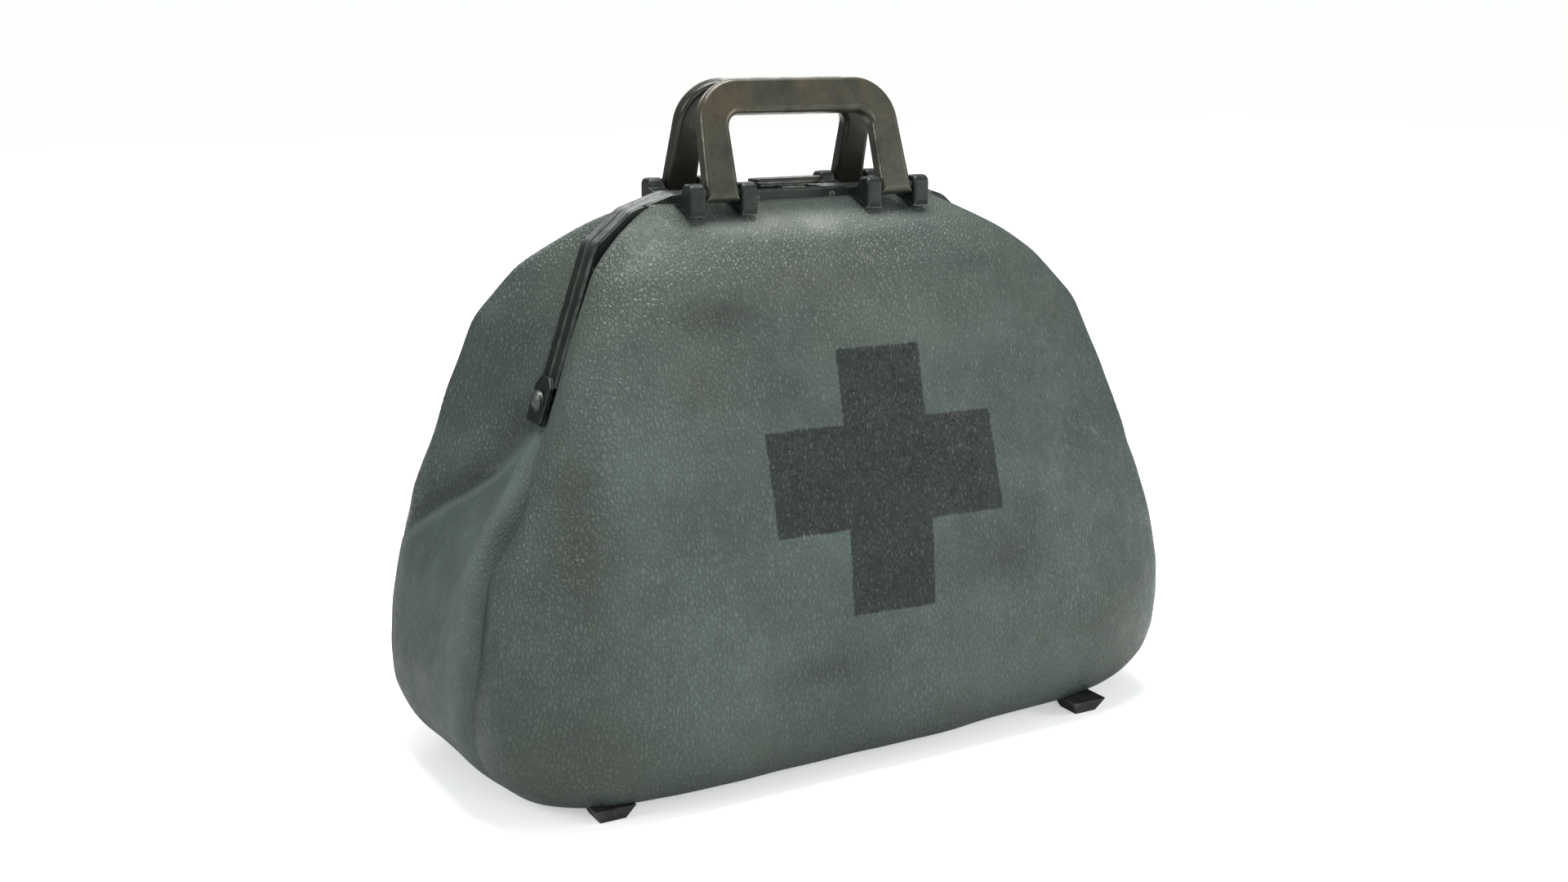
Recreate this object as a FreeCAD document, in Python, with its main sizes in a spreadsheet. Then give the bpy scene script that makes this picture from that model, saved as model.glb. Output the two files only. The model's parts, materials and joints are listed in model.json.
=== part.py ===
import FreeCAD, Part
import math
import os

import Sketcher

# A doctor bag: a leather bag whose mouth is two hinged metal jaws.
# Millimetres. X runs along the bag, -Y is the front, Z is up.
# The origin is on the floor, under the middle of the bag.

SIZES = {
    # leather shell
    "leather": 2.4,
    "skin_gap": 0.5,
    "floor_z": 8.0,
    "squareness": 4.5,
    "panel_edge": 0.857,
    "seam_slack": 0.002,
    "shoulder_slope": 8.0,
    "slant_gap": 0.6,
    "swell_from": 262.0,
    "swell": 0.09,
    "leather_clear": 1.6,
    "flange_gap": 0.3,
    "pinch_floor": 105.0,
    "pinch_power": 1.6,
    "pinch_width": 0.78,
    "skin_tuck": 1.2,
    "lining": 0.8,
    "lining_gap": 1.6,
    "lining_base": 16.2,
    "lining_top": 116.0,
    "board_length": 368.0,
    "board_depth": 164.0,
    "board_corner": 34.0,
    "board_tall": 2.8,
    "board_gap": 0.2,
    "base_gap": 0.4,
    # feet
    "foot_x": 148.0,
    "foot_y": 82.0,
    "foot_top": 22.0,
    "foot_tip": 14.0,
    "foot_bolt": 2.0,
    "bolt_x": 144.0,
    "bolt_y": 77.0,
    "bolt_head": 4.0,
    "bolt_head_tall": 1.6,
    "bolt_low": 2.0,
    "foot_gap": 0.02,
    # jaw frames
    "hinge_x": 143.7,
    "hinge_z": 196.7,
    "arm_x": 117.0,
    "arm_z": 275.5,
    "knee_x": 96.5,
    "knee_z": 292.9,
    "crown_x": 73.0,
    "crown_z": 300.5,
    "bend_round": 11.0,
    "bar_end": 204.2,
    "bar_depth": 9.4,
    "bar_tall": 8.0,
    "bar_wall": 1.6,
    "bar_bevel": 1.1,
    "seam": 0.15,
    # hinges
    "eye_round": 6.0,
    "eye_thick": 2.2,
    "eye_front_x": 136.6,
    "eye_rear_x": 133.6,
    "eye_top": 13.0,
    "eye_inset": 0.4,
    "eye_sink": 1.0,
    "pin_round": 2.0,
    "pin_play": 0.05,
    "pin_in": 131.6,
    "pin_out": 147.6,
    "pin_head": 5.5,
    "pin_head_tall": 2.6,
    "pin_button": 3.6,
    "pin_button_tall": 1.6,
    "dome_lift": 1.6,
    "dome_root": 1.4,
    "washer_round": 4.4,
    "washer_play": 0.15,
    "collar_wide": 1.8,
    "collar_out": 142.4,
    "plate_wide": 20.0,
    "plate_tall": 25.0,
    "plate_thick": 2.0,
    "plate_gap": 0.4,
    "plate_clear": 0.3,
    "plate_room": 3.0,
    "plate_rim": 0.6,
    "plate_corner": 5.0,
    "plate_toe": 2.0,
    # clamp strips inside the frames
    "strip_deep": 1.4,
    "strip_low": 6.4,
    "strip_high": 2.2,
    "strip_end": 216.0,
    "strip_gap": 0.1,
    "rivet_round": 1.5,
    "rivet_rise": 3.6,
    "rivet_in": 4.5,
    "rivet_high": 12.0,
    "rivet_low": 40.0,
    # handles
    "pivot_y": 25.0,
    "pivot_z": 301.0,
    "handle_lean": 18.0,
    "handle_inner": 43.3,
    "handle_outer": 62.3,
    "handle_taper": 3.6,
    "handle_top": 59.6,
    "handle_grip": 18.6,
    "handle_low": 4.6,
    "handle_thick": 9.0,
    "handle_corner": 24.0,
    "handle_crook": 8.0,
    "handle_edge": 3.0,
    "core_wide": 7.0,
    "core_thick": 3.6,
    "core_inset": 5.8,
    "core_drop": 6.0,
    "core_low": 3.4,
    "handle_pin": 2.2,
    "handle_pin_end": 0.8,
    # handle lugs
    "lug_inner_x": 38.0,
    "lug_outer_x": 67.9,
    "lug_wide": 9.4,
    "lug_front": 30.6,
    "lug_back": 19.4,
    "lug_low": 289.6,
    "lug_high": 306.2,
    "lug_toe": 1.0,
    "lug_nose": 3.0,
    "lug_heel": 4.7,
    "lug_root": 5.6,
    "lug_touch": 0.02,
    "lug_shelf": 0.6,
    "lug_drop": 2.0,
    "lug_edge": 1.8,
    "lug_crown": 4.2,
    # lock
    "lock_case_long": 40.0,
    "lock_case_deep": 10.4,
    "lock_case_low": 300.5,
    "lock_case_high": 303.1,
    "lock_case_y": 2.0,
    "lock_foot_tall": 1.0,
    "lock_foot_inset": 0.4,
    "lock_overlap": 0.1,
    "button_long": 44.0,
    "button_deep": 11.0,
    "button_low": 303.2,
    "button_high": 305.4,
    "button_y": 1.4,
    "button_rim": 0.7,
    "button_sink": 0.2,
    "button_stem": 3.0,
    "stem_play": 0.2,
    "bolt_travel": 6.0,
    "slot_y": 5.0,
    "slot_deep": 3.0,
    "slot_play": 0.4,
    "stem_low": 294.7,
    "spring_round": 1.3,
    "spring_wire": 0.45,
    "spring_long": 12.0,
    "spring_rise": 1.4,
    "spring_turns": 9.0,
    "catch_long": 14.0,
    "catch_thick": 0.8,
}

# The leather body at a few heights: height, half length, half depth.
BODY_LEVELS = [
    (8.0, 196.0, 90.0),
    (14.0, 204.0, 95.0),
    (25.0, 211.0, 99.0),
    (40.0, 216.0, 102.0),
    (80.0, 216.0, 104.0),
    (120.0, 210.0, 97.0),
    (160.0, 198.0, 87.0),
    (200.0, 185.0, 75.0),
    (235.0, 172.0, 61.0),
    (262.0, 149.0, 48.0),
    (285.0, 116.0, 34.0),
    (293.5, 99.0, 23.0),
]

# Heights of the sections that the lower and the upper leather are lofted
# through, and of the lining's.
PANEL_HEIGHTS = [8.0, 14.0, 25.0, 40.0, 80.0, 120.0, 160.0, 180.0, 197.0]
SHOULDER_HEIGHTS = [176.0, 190.0, 203.0, 218.0, 235.0, 250.0, 262.0, 275.0, 285.0, 293.0]
LINING_HEIGHTS = [25.0, 40.0, 80.0, 100.0]

# How far off an edge may lie when it is picked by its place.
PICK = 0.1
FAR = 300.0

doc = FreeCAD.newDocument("doctor_bag")
sheet = doc.addObject("Spreadsheet::Sheet", "sizes")
parts = []


def fill_sheet():
    """Every driving dimension is one named cell of the sheet."""
    cells = dict(SIZES)
    for index, level in enumerate(BODY_LEVELS):
        for word, number in zip(("height", "length", "depth"), level):
            cells[f"level_{word}_{index}"] = number
    for row, (name, number) in enumerate(cells.items(), start=1):
        sheet.set(f"A{row}", name)
        sheet.set(f"B{row}", str(number))
        sheet.setAlias(f"B{row}", name)
    doc.recompute()


def size(name):
    return float(sheet.get(name))


def formula(text):
    """A formula in the sheet's words, as other objects read it."""
    words = sorted(SIZES, key=len, reverse=True)
    out = []
    at = 0
    while at < len(text):
        word = next((w for w in words if text.startswith(w, at)), None)
        starts = at == 0 or not (text[at - 1].isalnum() or text[at - 1] == "_")
        if word and starts:
            out.append("sizes." + word)
            at += len(word)
        else:
            out.append(text[at])
            at += 1
    return "".join(out)


def number(text):
    return float(sheet.evalExpression(formula(text)))


def bind(thing, prop, text):
    thing.setExpression(prop, formula(text))


def keep(thing, label):
    """Marks a document object as one finished piece of the bag."""
    thing.Label = label
    parts.append(thing)
    return thing


# ---------------------------------------------------------------- helpers


def new_body(name):
    return doc.addObject("PartDesign::Body", name)


def plane_of(body, role):
    return next(f for f in body.Origin.OriginFeatures if f.Role == role)


def new_sketch(body, role, name, offset=None):
    sketch = body.newObject("Sketcher::SketchObject", name)
    sketch.AttachmentSupport = [(plane_of(body, role), "")]
    sketch.MapMode = "FlatFace"
    if offset:
        bind(sketch, "AttachmentOffset.Base.z", offset)
    return sketch


def pin_point(sketch, geometry, end, along, up):
    """Ties a sketch point to two formulas."""
    for kind, text in (("DistanceX", along), ("DistanceY", up)):
        rule = Sketcher.Constraint(kind, -1, 1, geometry, end, number(text))
        index = sketch.addConstraint(rule)
        name = f"{kind}_{index}"
        sketch.renameConstraint(index, name)
        bind(sketch, "Constraints." + name, text)


def polygon(sketch, corners, closed=True):
    """Straight edges through corners, each corner two formulas."""
    spots = [FreeCAD.Vector(number(a), number(b), 0) for a, b in corners]
    edges = len(spots) if closed else len(spots) - 1
    for index in range(edges):
        ends = spots[index], spots[(index + 1) % len(spots)]
        sketch.addGeometry(Part.LineSegment(*ends))
    for index in range(edges if closed else edges - 1):
        after = (index + 1) % edges
        sketch.addConstraint(Sketcher.Constraint("Coincident", index, 2, after, 1))
    for index, (along, up) in enumerate(corners):
        if index < edges:
            pin_point(sketch, index, 1, along, up)
        else:
            pin_point(sketch, index - 1, 2, along, up)
    return sketch


def circle(sketch, along, up, radius):
    middle = FreeCAD.Vector(number(along), number(up), 0)
    normal = FreeCAD.Vector(0, 0, 1)
    index = sketch.addGeometry(Part.Circle(middle, normal, number(radius)))
    pin_point(sketch, index, 3, along, up)
    rule = sketch.addConstraint(Sketcher.Constraint("Radius", index, number(radius)))
    sketch.renameConstraint(rule, f"radius_{rule}")
    bind(sketch, f"Constraints.radius_{rule}", radius)
    return sketch


def pad(body, sketch, length, name, middle=False, back=False):
    feature = body.newObject("PartDesign::Pad", name)
    feature.Profile = sketch
    bind(feature, "Length", length)
    feature.Midplane = middle
    feature.Reversed = back
    doc.recompute()
    return feature


def pocket_through(body, sketch, name):
    """Cuts a sketch right through the body, both ways."""
    before = body.Shape.Volume
    feature = body.newObject("PartDesign::Pocket", name)
    feature.Profile = sketch
    feature.Type = "ThroughAll"
    feature.Midplane = True
    doc.recompute()
    if not body.Shape.Volume < before - 0.01:
        raise RuntimeError(name + " cuts nothing")
    return feature


def edge_names(shape, test):
    return [f"Edge{i}" for i, e in enumerate(shape.Edges, start=1) if test(e)]


def round_edges(body, radius, test, name):
    base = body.Tip
    feature = body.newObject("PartDesign::Fillet", name)
    feature.Base = (base, edge_names(base.Shape, test))
    bind(feature, "Radius", radius)
    doc.recompute()
    return feature


def mirror_feature(body, features, role, name):
    feature = body.newObject("PartDesign::Mirrored", name)
    feature.Originals = features
    feature.MirrorPlane = (plane_of(body, role), [""])
    body.Tip = feature
    doc.recompute()
    return feature


def mirror_piece(source, axis, label):
    """A mirror image across the plane that axis is the normal of."""
    feature = doc.addObject("Part::Mirroring", label + "_mirror")
    feature.Source = source
    feature.Normal = axis
    doc.recompute()
    return keep(feature, label)


ACROSS_X = FreeCAD.Vector(1, 0, 0)
ACROSS_Y = FreeCAD.Vector(0, 1, 0)


def cylinder(name, radius, length, place, angle="0", axis=ACROSS_Y):
    """A cylinder that starts at place; it runs along Z unless turned."""
    feature = doc.addObject("Part::Cylinder", name)
    bind(feature, "Radius", radius)
    bind(feature, "Height", length)
    for letter, text in zip("xyz", place):
        bind(feature, "Placement.Base." + letter, text)
    feature.Placement.Rotation = FreeCAD.Rotation(axis, float(angle))
    doc.recompute()
    return feature


def along_x(name, radius, low, high, y, z):
    return cylinder(name, radius, f"({high}) - ({low})", (low, y, z), "90")


def along_y(name, radius, low, high, x, z):
    length = f"({high}) - ({low})"
    return cylinder(name, radius, length, (x, low, z), "-90", ACROSS_X)


def joined(name, shapes):
    feature = doc.addObject("Part::MultiFuse", name)
    feature.Shapes = shapes
    doc.recompute()
    return feature


def group(name, shapes):
    feature = doc.addObject("Part::Compound", name)
    feature.Links = shapes
    doc.recompute()
    return feature


def cut(name, base, tool):
    feature = doc.addObject("Part::Cut", name)
    feature.Base = base
    feature.Tool = tool
    doc.recompute()
    return feature


# ------------------------------------------------------------ leather shell


def level_at(height, column):
    """Half length or half depth at a height, straight between levels."""
    last = len(BODY_LEVELS) - 1
    heights = [size(f"level_height_{i}") for i in range(last + 1)]
    widths = [size(f"level_{column}_{i}") for i in range(last + 1)]
    for i in range(last):
        if height <= heights[i + 1] or i == last - 1:
            part = (height - heights[i]) / (heights[i + 1] - heights[i])
            return widths[i] + part * (widths[i + 1] - widths[i])
    return widths[last]


def arm_x_at(height):
    """Outer line of the jaw arms, as a distance from the middle."""
    spots = [(size(a + "_z"), size(a + "_x")) for a in ("hinge", "arm", "knee")]
    spots.append((size("crown_z"), size("crown_x")))
    for (low, wide), (high, narrow) in zip(spots, spots[1:]):
        if height <= high or high == spots[-1][0]:
            part = (height - low) / (high - low)
            return wide + part * (narrow - wide)
    return spots[-1][1]


def end_x(height, y, inset):
    """Where the end of the bag stands at a height, y off the middle.
    Towards the top the end is pinched in to the jaw frame."""
    half_length = level_at(height, "length") - inset
    half_depth = level_at(height, "depth") - inset
    share = min(abs(y) / half_depth, 1.0)
    full = half_length * (1 - share ** size("squareness")) ** (1 / size("squareness"))
    floor = size("pinch_floor")
    full_pinch = size("hinge_z") - size("plate_tall") / 2
    reach = (min(height, full_pinch) - floor) / (full_pinch - floor)
    target = arm_x_at(height) - size("skin_tuck") - inset
    depth = (half_length - target) * max(reach, 0.0) ** size("pinch_power")
    near = max(0.0, 1 - (share / size("pinch_width")) ** 2) ** 2
    return full - depth * near


def front_y(height, x, inset):
    half_length = level_at(height, "length") - inset
    half_depth = level_at(height, "depth") - inset
    share = min(abs(x) / half_length, 1.0)
    return -half_depth * (1 - share ** size("squareness")) ** (1 / size("squareness"))


def spread(count, power=1.0):
    """Numbers from -1 to 1, closer together at both ends when power < 1."""
    steps = [2 * i / (count - 1) - 1 for i in range(count)]
    return [math.copysign(abs(step) ** power, step) for step in steps]


def curve(spots, height, closed=False):
    line = Part.BSplineCurve()
    points = [FreeCAD.Vector(x, y, height) for x, y in spots]
    steps = len(points) if closed else len(points) - 1
    marks = [i / steps for i in range(steps + 1)]
    line.interpolate(points, PeriodicFlag=closed, Parameters=marks)
    return line.toShape()


def strip(line, heights, thickness):
    """A leather strip: line(height, inset) gives its outer edge points, and
    the same line, inset by the thickness, is its inner face."""
    wires = []
    for height in heights:
        thick = thickness(height)
        outer = line(height, 0.0)
        inner = line(height, thick)
        inner.reverse()
        turn = [FreeCAD.Vector(*outer[-1], height), FreeCAD.Vector(*inner[0], height)]
        back = [FreeCAD.Vector(*inner[-1], height), FreeCAD.Vector(*outer[0], height)]
        edges = [curve(outer, height), Part.makeLine(*turn),
                 curve(inner, height), Part.makeLine(*back)]
        wires.append(Part.Wire(edges))
    return Part.makeLoft(wires, True, True)


def front_line(height, inset):
    reach = size("panel_edge") - size("seam_slack")
    wide = (level_at(height, "length") - inset) * reach
    shares = spread(15, 0.7)
    return [(wide * s, front_y(height, wide * s, inset)) for s in shares]


def end_line(height, inset):
    reach = size("panel_edge") - size("seam_slack")
    deep = (level_at(height, "depth") - inset) * reach
    return [(-end_x(height, deep * s, inset), deep * s) for s in spread(15)]


def shoulder_line(height, inset):
    """Upper front leather: from one jaw arm round the front to the other."""
    nest = size("leather") + size("skin_gap")
    inset = inset + nest
    edge = size("panel_edge")
    deep = (level_at(height, "depth") - inset) * edge
    wide = (level_at(height, "length") - inset) * edge
    near = size("bar_depth") + size("flange_gap")
    wing = [near + (deep - near) * i / 6 for i in range(7)]
    left = [(-end_x(height, y, inset), -y) for y in wing]
    front = [(wide * s, front_y(height, wide * s, inset)) for s in spread(11, 0.7)]
    right = [(-x, y) for x, y in reversed(left)]
    return left + front[1:-1] + right


def wedge(lift, keep_above):
    """Half space above or below the slanted line where the upper leather
    meets the lower, for the front and the rear at once."""
    slope = math.tan(math.radians(size("shoulder_slope")))
    top = size("hinge_z") + lift
    edge = FAR if keep_above else -FAR
    spots = [(-FAR, top - slope * FAR), (0, top), (FAR, top - slope * FAR)]
    spots += [(FAR, top + edge), (-FAR, top + edge)]
    points = [FreeCAD.Vector(-FAR, y, z) for y, z in spots]
    face = Part.Face(Part.makePolygon(points + points[:1]))
    return face.extrude(FreeCAD.Vector(2 * FAR, 0, 0))


def hinge_keepout():
    """Room for the hinge eyes, and for the left hinge plate."""
    middle = FreeCAD.Vector(-FAR, 0, size("hinge_z"))
    radius = size("eye_round") + size("leather_clear")
    room = Part.makeCylinder(radius, 2 * FAR, middle, FreeCAD.Vector(1, 0, 0))
    clear = size("plate_clear")
    wide = size("plate_wide") + 2 * clear
    tall = size("plate_tall") + 2 * clear
    deep = size("plate_thick") + size("plate_room")
    corner = FreeCAD.Vector(clear - deep, -wide / 2, -tall / 2)
    pocket = Part.makeBox(deep, wide, tall, corner)
    pocket.rotate(FreeCAD.Vector(0, 0, 0), ACROSS_Y, arm_tilt())
    place = FreeCAD.Vector(-size("hinge_x") - size("plate_gap"), 0, size("hinge_z"))
    pocket.translate(place)
    return room.fuse(pocket)


def arm_tilt():
    """Degrees that the jaw arms lean in from upright."""
    return math.degrees(math.atan(number(ARM_SLOPE)))


def leather_feature(name, shape, label):
    feature = doc.addObject("Part::Feature", name)
    feature.Shape = shape.removeSplitter()
    feature.Placement = FreeCAD.Placement()
    return keep(feature, label)


def build_leather():
    def plain(height):
        return size("leather")

    below = wedge(-size("slant_gap"), False)
    front = strip(front_line, PANEL_HEIGHTS, plain).common(below)
    end = strip(end_line, PANEL_HEIGHTS, plain).common(below).cut(hinge_keepout())
    front_piece = leather_feature("front_shell", front, "front_panel")
    mirror_piece(front_piece, ACROSS_Y, "rear_panel")
    end_piece = leather_feature("end_shell", end, "left_gusset")
    mirror_piece(end_piece, ACROSS_X, "right_gusset")

    def thicker(height):
        above = max(0.0, height - size("swell_from"))
        return size("leather") + above * size("swell")

    shoulder = strip(shoulder_line, SHOULDER_HEIGHTS, thicker).common(wedge(0.0, True))
    piece = leather_feature("shoulder_shell", shoulder, "front_shoulder")
    mirror_piece(piece, ACROSS_Y, "rear_shoulder")


def full_loop(height, inset):
    reach = size("panel_edge")
    wide = (level_at(height, "length") - inset) * reach
    deep = (level_at(height, "depth") - inset) * reach
    front = [(wide * s, front_y(height, wide * s, inset)) for s in spread(13, 0.7)]
    right = [(end_x(height, deep * s, inset), deep * s) for s in spread(11)]
    back = [(-x, -y) for x, y in front]
    left = [(-x, -y) for x, y in right]
    return front[:-1] + right[:-1] + back[:-1] + left[:-1]


def loop_loft(heights, inset):
    wires = [Part.Wire([curve(full_loop(h, inset), h, True)]) for h in heights]
    return Part.makeLoft(wires, True, True)


def build_base(bolts):
    """Bottom leather, stiffening board and fabric lining tray."""
    floor = size("floor_z")
    inset = size("leather") + size("base_gap")
    outline = Part.Face(Part.Wire([curve(full_loop(floor, inset), floor, True)]))
    panel = outline.extrude(FreeCAD.Vector(0, 0, size("leather")))
    sheet_panel = doc.addObject("Part::Feature", "base_blank")
    sheet_panel.Shape = panel
    sheet_panel.Placement = FreeCAD.Placement()
    keep(cut("base_cut", sheet_panel, bolts), "base_panel")

    body = new_body("board_body")
    long = "board_length / 2"
    deep = "board_depth / 2"
    corners = []
    for a, b in ((1, -1), (1, 1), (-1, 1), (-1, -1)):
        side = (f"{a} * {long}", f"{b} * ({deep} - board_corner)")
        end = (f"{a} * ({long} - board_corner)", f"{b} * {deep}")
        corners += [side, end] if a * b > 0 else [end, side]
    level = "floor_z + leather + board_gap"
    sketch = polygon(new_sketch(body, "XY_Plane", "board_outline", level), corners)
    pad(body, sketch, "board_tall", "board_pad")
    keep(cut("board_cut", body, bolts), "base_board")

    low, high = size("lining_base"), size("lining_top")
    wall = size("leather") + size("lining_gap")
    levels = [low] + LINING_HEIGHTS + [high]
    raised = [low + size("lining")] + LINING_HEIGHTS + [high + size("lining")]
    outer = loop_loft(levels, wall)
    hollow = loop_loft(raised, wall + size("lining"))
    leather_feature("lining_tray", outer.cut(hollow), "lining")


# --------------------------------------------------------------------- feet


def build_feet():
    """Four tapered feet, and the bolts that hold them through the board."""
    names = {(-1, -1): "foot_front_left", (1, -1): "foot_front_right",
             (-1, 1): "foot_rear_left", (1, 1): "foot_rear_right"}
    bolts = []
    shafts = []
    head = "floor_z + leather + board_gap + board_tall"
    for (side, end), name in names.items():
        x, y = f"{side} * bolt_x", f"{end} * bolt_y"
        bolts.append(along_z(name + "_shaft", "foot_bolt", "bolt_low", head, x, y))
        top = f"{head} + bolt_head_tall"
        bolts.append(along_z(name + "_head", "bolt_head", head, top, x, y))
        shafts.append(along_z(name + "_drill", "foot_bolt", "bolt_low", top, x, y))
    pairs = [joined(f"bolt_{i}", bolts[2 * i:2 * i + 2]) for i in range(4)]
    keep(group("bolt_group", pairs), "foot_bolts")
    drill = group("drill_group", shafts)
    for (side, end), name in names.items():
        body = new_body(name + "_body")
        half = [("foot_tip / 2", "0"), ("foot_top / 2", "floor_z - foot_gap")]
        outlines = []
        for step, (reach, level) in enumerate(half):
            corners = []
            for a, b in ((1, -1), (1, 1), (-1, 1), (-1, -1)):
                corners.append((f"{side} * foot_x + {a} * {reach}",
                                f"{end} * foot_y + {b} * {reach}"))
            sketch = new_sketch(body, "XY_Plane", f"{name}_{step}", level)
            outlines.append(polygon(sketch, corners))
        loft = body.newObject("PartDesign::AdditiveLoft", name + "_loft")
        loft.Profile = outlines[0]
        loft.Sections = [outlines[1]]
        doc.recompute()
        keep(cut(name + "_cut", body, drill), name)
    return drill


def along_z(name, radius, low, high, x, y):
    return cylinder(name, radius, f"({high}) - ({low})", (x, y, low))


# --------------------------------------------------------------- jaw frames

ARM_SLOPE = "(hinge_x - arm_x) / (arm_z - hinge_z)"
# how far the arm, knee and crown corners move along X and down Z when the
# arch line is moved inwards by one
ARM_MITRE = (0.86, 0.52)
KNEE_MITRE = (0.55, 0.85)
CROWN_MITRE = (0.2, 1.0)
# rivet places along the crown, as shares of its half length
RIVET_SHARES = (0.32, 0.9)


def arm_line(height, inward="0"):
    """X of the left arm's outer line at a height, moved inwards."""
    return f"-(hinge_x - (({height}) - hinge_z) * {ARM_SLOPE}) + {inward}"


def half_arch(body, name, end, inward):
    """Left half of the arch line, from the arm's end to the middle."""
    turns = [("arm", ARM_MITRE), ("knee", KNEE_MITRE), ("crown", CROWN_MITRE)]
    corners = [(arm_line(end, inward), end)]
    corners += [(f"-{word}_x + {along} * ({inward})", f"{word}_z - {down} * ({inward})")
                for word, (along, down) in turns]
    corners.append(("0", f"crown_z - ({inward})"))
    path = polygon(new_sketch(body, "XZ_Plane", name), corners, closed=False)
    doc.recompute()
    for corner in range(3):
        path.fillet(corner, 2, number("bend_round"), True, True)
    return path


def swept(body, profile, path, name):
    feature = body.newObject("PartDesign::AdditivePipe", name)
    feature.Profile = profile
    feature.Spine = (path, [])
    doc.recompute()
    return feature


def build_jaw(side_name, eye_x, slot):
    """One jaw: an arched channel, open towards the bag, with a hinge eye at
    each foot. It is drawn as the front one."""
    body = new_body(side_name + "_jaw_body")
    path = half_arch(body, side_name + "_arch", "bar_end", "0")
    edge, deep, wall = "-seam", "-bar_depth", "bar_wall"
    inward = [("bar_bevel", edge), ("0", f"{edge} - bar_bevel"),
              ("0", f"{deep} + bar_bevel"), ("bar_bevel", deep), ("bar_tall", deep),
              ("bar_tall", f"{deep} + {wall}"), (wall, f"{deep} + {wall}"),
              (wall, f"{edge} - {wall}"), ("bar_tall", f"{edge} - {wall}"),
              ("bar_tall", edge)]
    corners = [(arm_line("bar_end", a), b) for a, b in inward]
    profile = new_sketch(body, "XY_Plane", side_name + "_channel", "bar_end")
    polygon(profile, corners)
    bar = swept(body, profile, path, side_name + "_bar")

    eye = new_sketch(body, "YZ_Plane", side_name + "_eye", f"-({eye_x}) - eye_thick")
    top = "hinge_z + eye_top"
    far, near = "-bar_depth + eye_inset", "-seam - eye_inset"
    corners = [("-eye_round", "hinge_z"), (far, "bar_end - eye_sink"),
               (far, top), (near, top), (near, "hinge_z")]
    polygon(eye, corners)
    tab = pad(body, eye, "eye_thick", side_name + "_tab")
    ring = new_sketch(body, "YZ_Plane", side_name + "_ring", f"-({eye_x}) - eye_thick")
    circle(ring, "0", "hinge_z", "eye_round")
    disc = pad(body, ring, "eye_thick", side_name + "_disc")
    mirror_feature(body, [bar, tab, disc], "YZ_Plane", side_name + "_both_arms")
    bore = new_sketch(body, "YZ_Plane", side_name + "_bore")
    circle(bore, "0", "hinge_z", "pin_round + pin_play")
    pocket_through(body, bore, side_name + "_pin_hole")
    if slot:
        opening = new_sketch(body, "XY_Plane", side_name + "_slot", "crown_z - bar_wall")
        near, far = "-slot_y - slot_deep / 2", "-slot_y + slot_deep / 2"
        start = "-button_stem / 2 - slot_play"
        reach = "button_stem / 2 + bolt_travel + slot_play"
        corners = [(start, near), (reach, near), (reach, far), (start, far)]
        polygon(opening, corners)
        doc.recompute()
        before = body.Shape.Volume
        feature = body.newObject("PartDesign::Pocket", side_name + "_button_slot")
        feature.Profile = opening
        feature.Midplane = True
        bind(feature, "Length", "bar_wall * 4")
        doc.recompute()
        if not body.Shape.Volume < before - 0.01:
            raise RuntimeError("the button slot cuts nothing")
    return body


def build_clamp(name):
    """The strip that grips the leather's edge inside a jaw, with rivets."""
    body = new_body(name + "_strip_body")
    path = half_arch(body, name + "_strip_path", "strip_end", "strip_high")
    low = arm_line("strip_end", "strip_high")
    high = arm_line("strip_end", "strip_low")
    near = "-seam - bar_wall - strip_gap"
    corners = [(low, near), (low, near + " - strip_deep"),
               (high, near + " - strip_deep"), (high, near)]
    profile = new_sketch(body, "XY_Plane", name + "_strip_section", "strip_end")
    polygon(profile, corners)
    bar = swept(body, profile, path, name + "_strip_bar")
    mirror_feature(body, [bar], "YZ_Plane", name + "_strip_both")
    return body


def rivet_spots():
    """Rivets sit on the crown and half way down each arm."""
    level = "crown_z - bar_tall + rivet_rise"
    spots = [(f"{side} * crown_x * {share}", level)
             for side in (-1, 1) for share in RIVET_SHARES]
    for height in ("arm_z - rivet_high", "hinge_z + rivet_low"):
        inward = arm_line(height, "rivet_in")
        spots += [(inward, height), (f"-({inward})", height)]
    return spots


def build_rivets(name):
    shapes = []
    for index, (x, z) in enumerate(rivet_spots()):
        shapes.append(along_y(f"{name}_{index}", "rivet_round", "-bar_depth",
                              "-seam - bar_wall - strip_gap", x, z))
    return group(name + "_group", shapes)


def rivet_drills(name):
    shapes = []
    for index, (x, z) in enumerate(rivet_spots()):
        label = f"{name}_drill_{index}"
        shapes.append(along_y(label, "rivet_round", "-bar_depth - 2",
                              "-seam - bar_wall - strip_gap", x, z))
    return group(name + "_drills", shapes)


# ------------------------------------------------------------------- hinges


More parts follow.
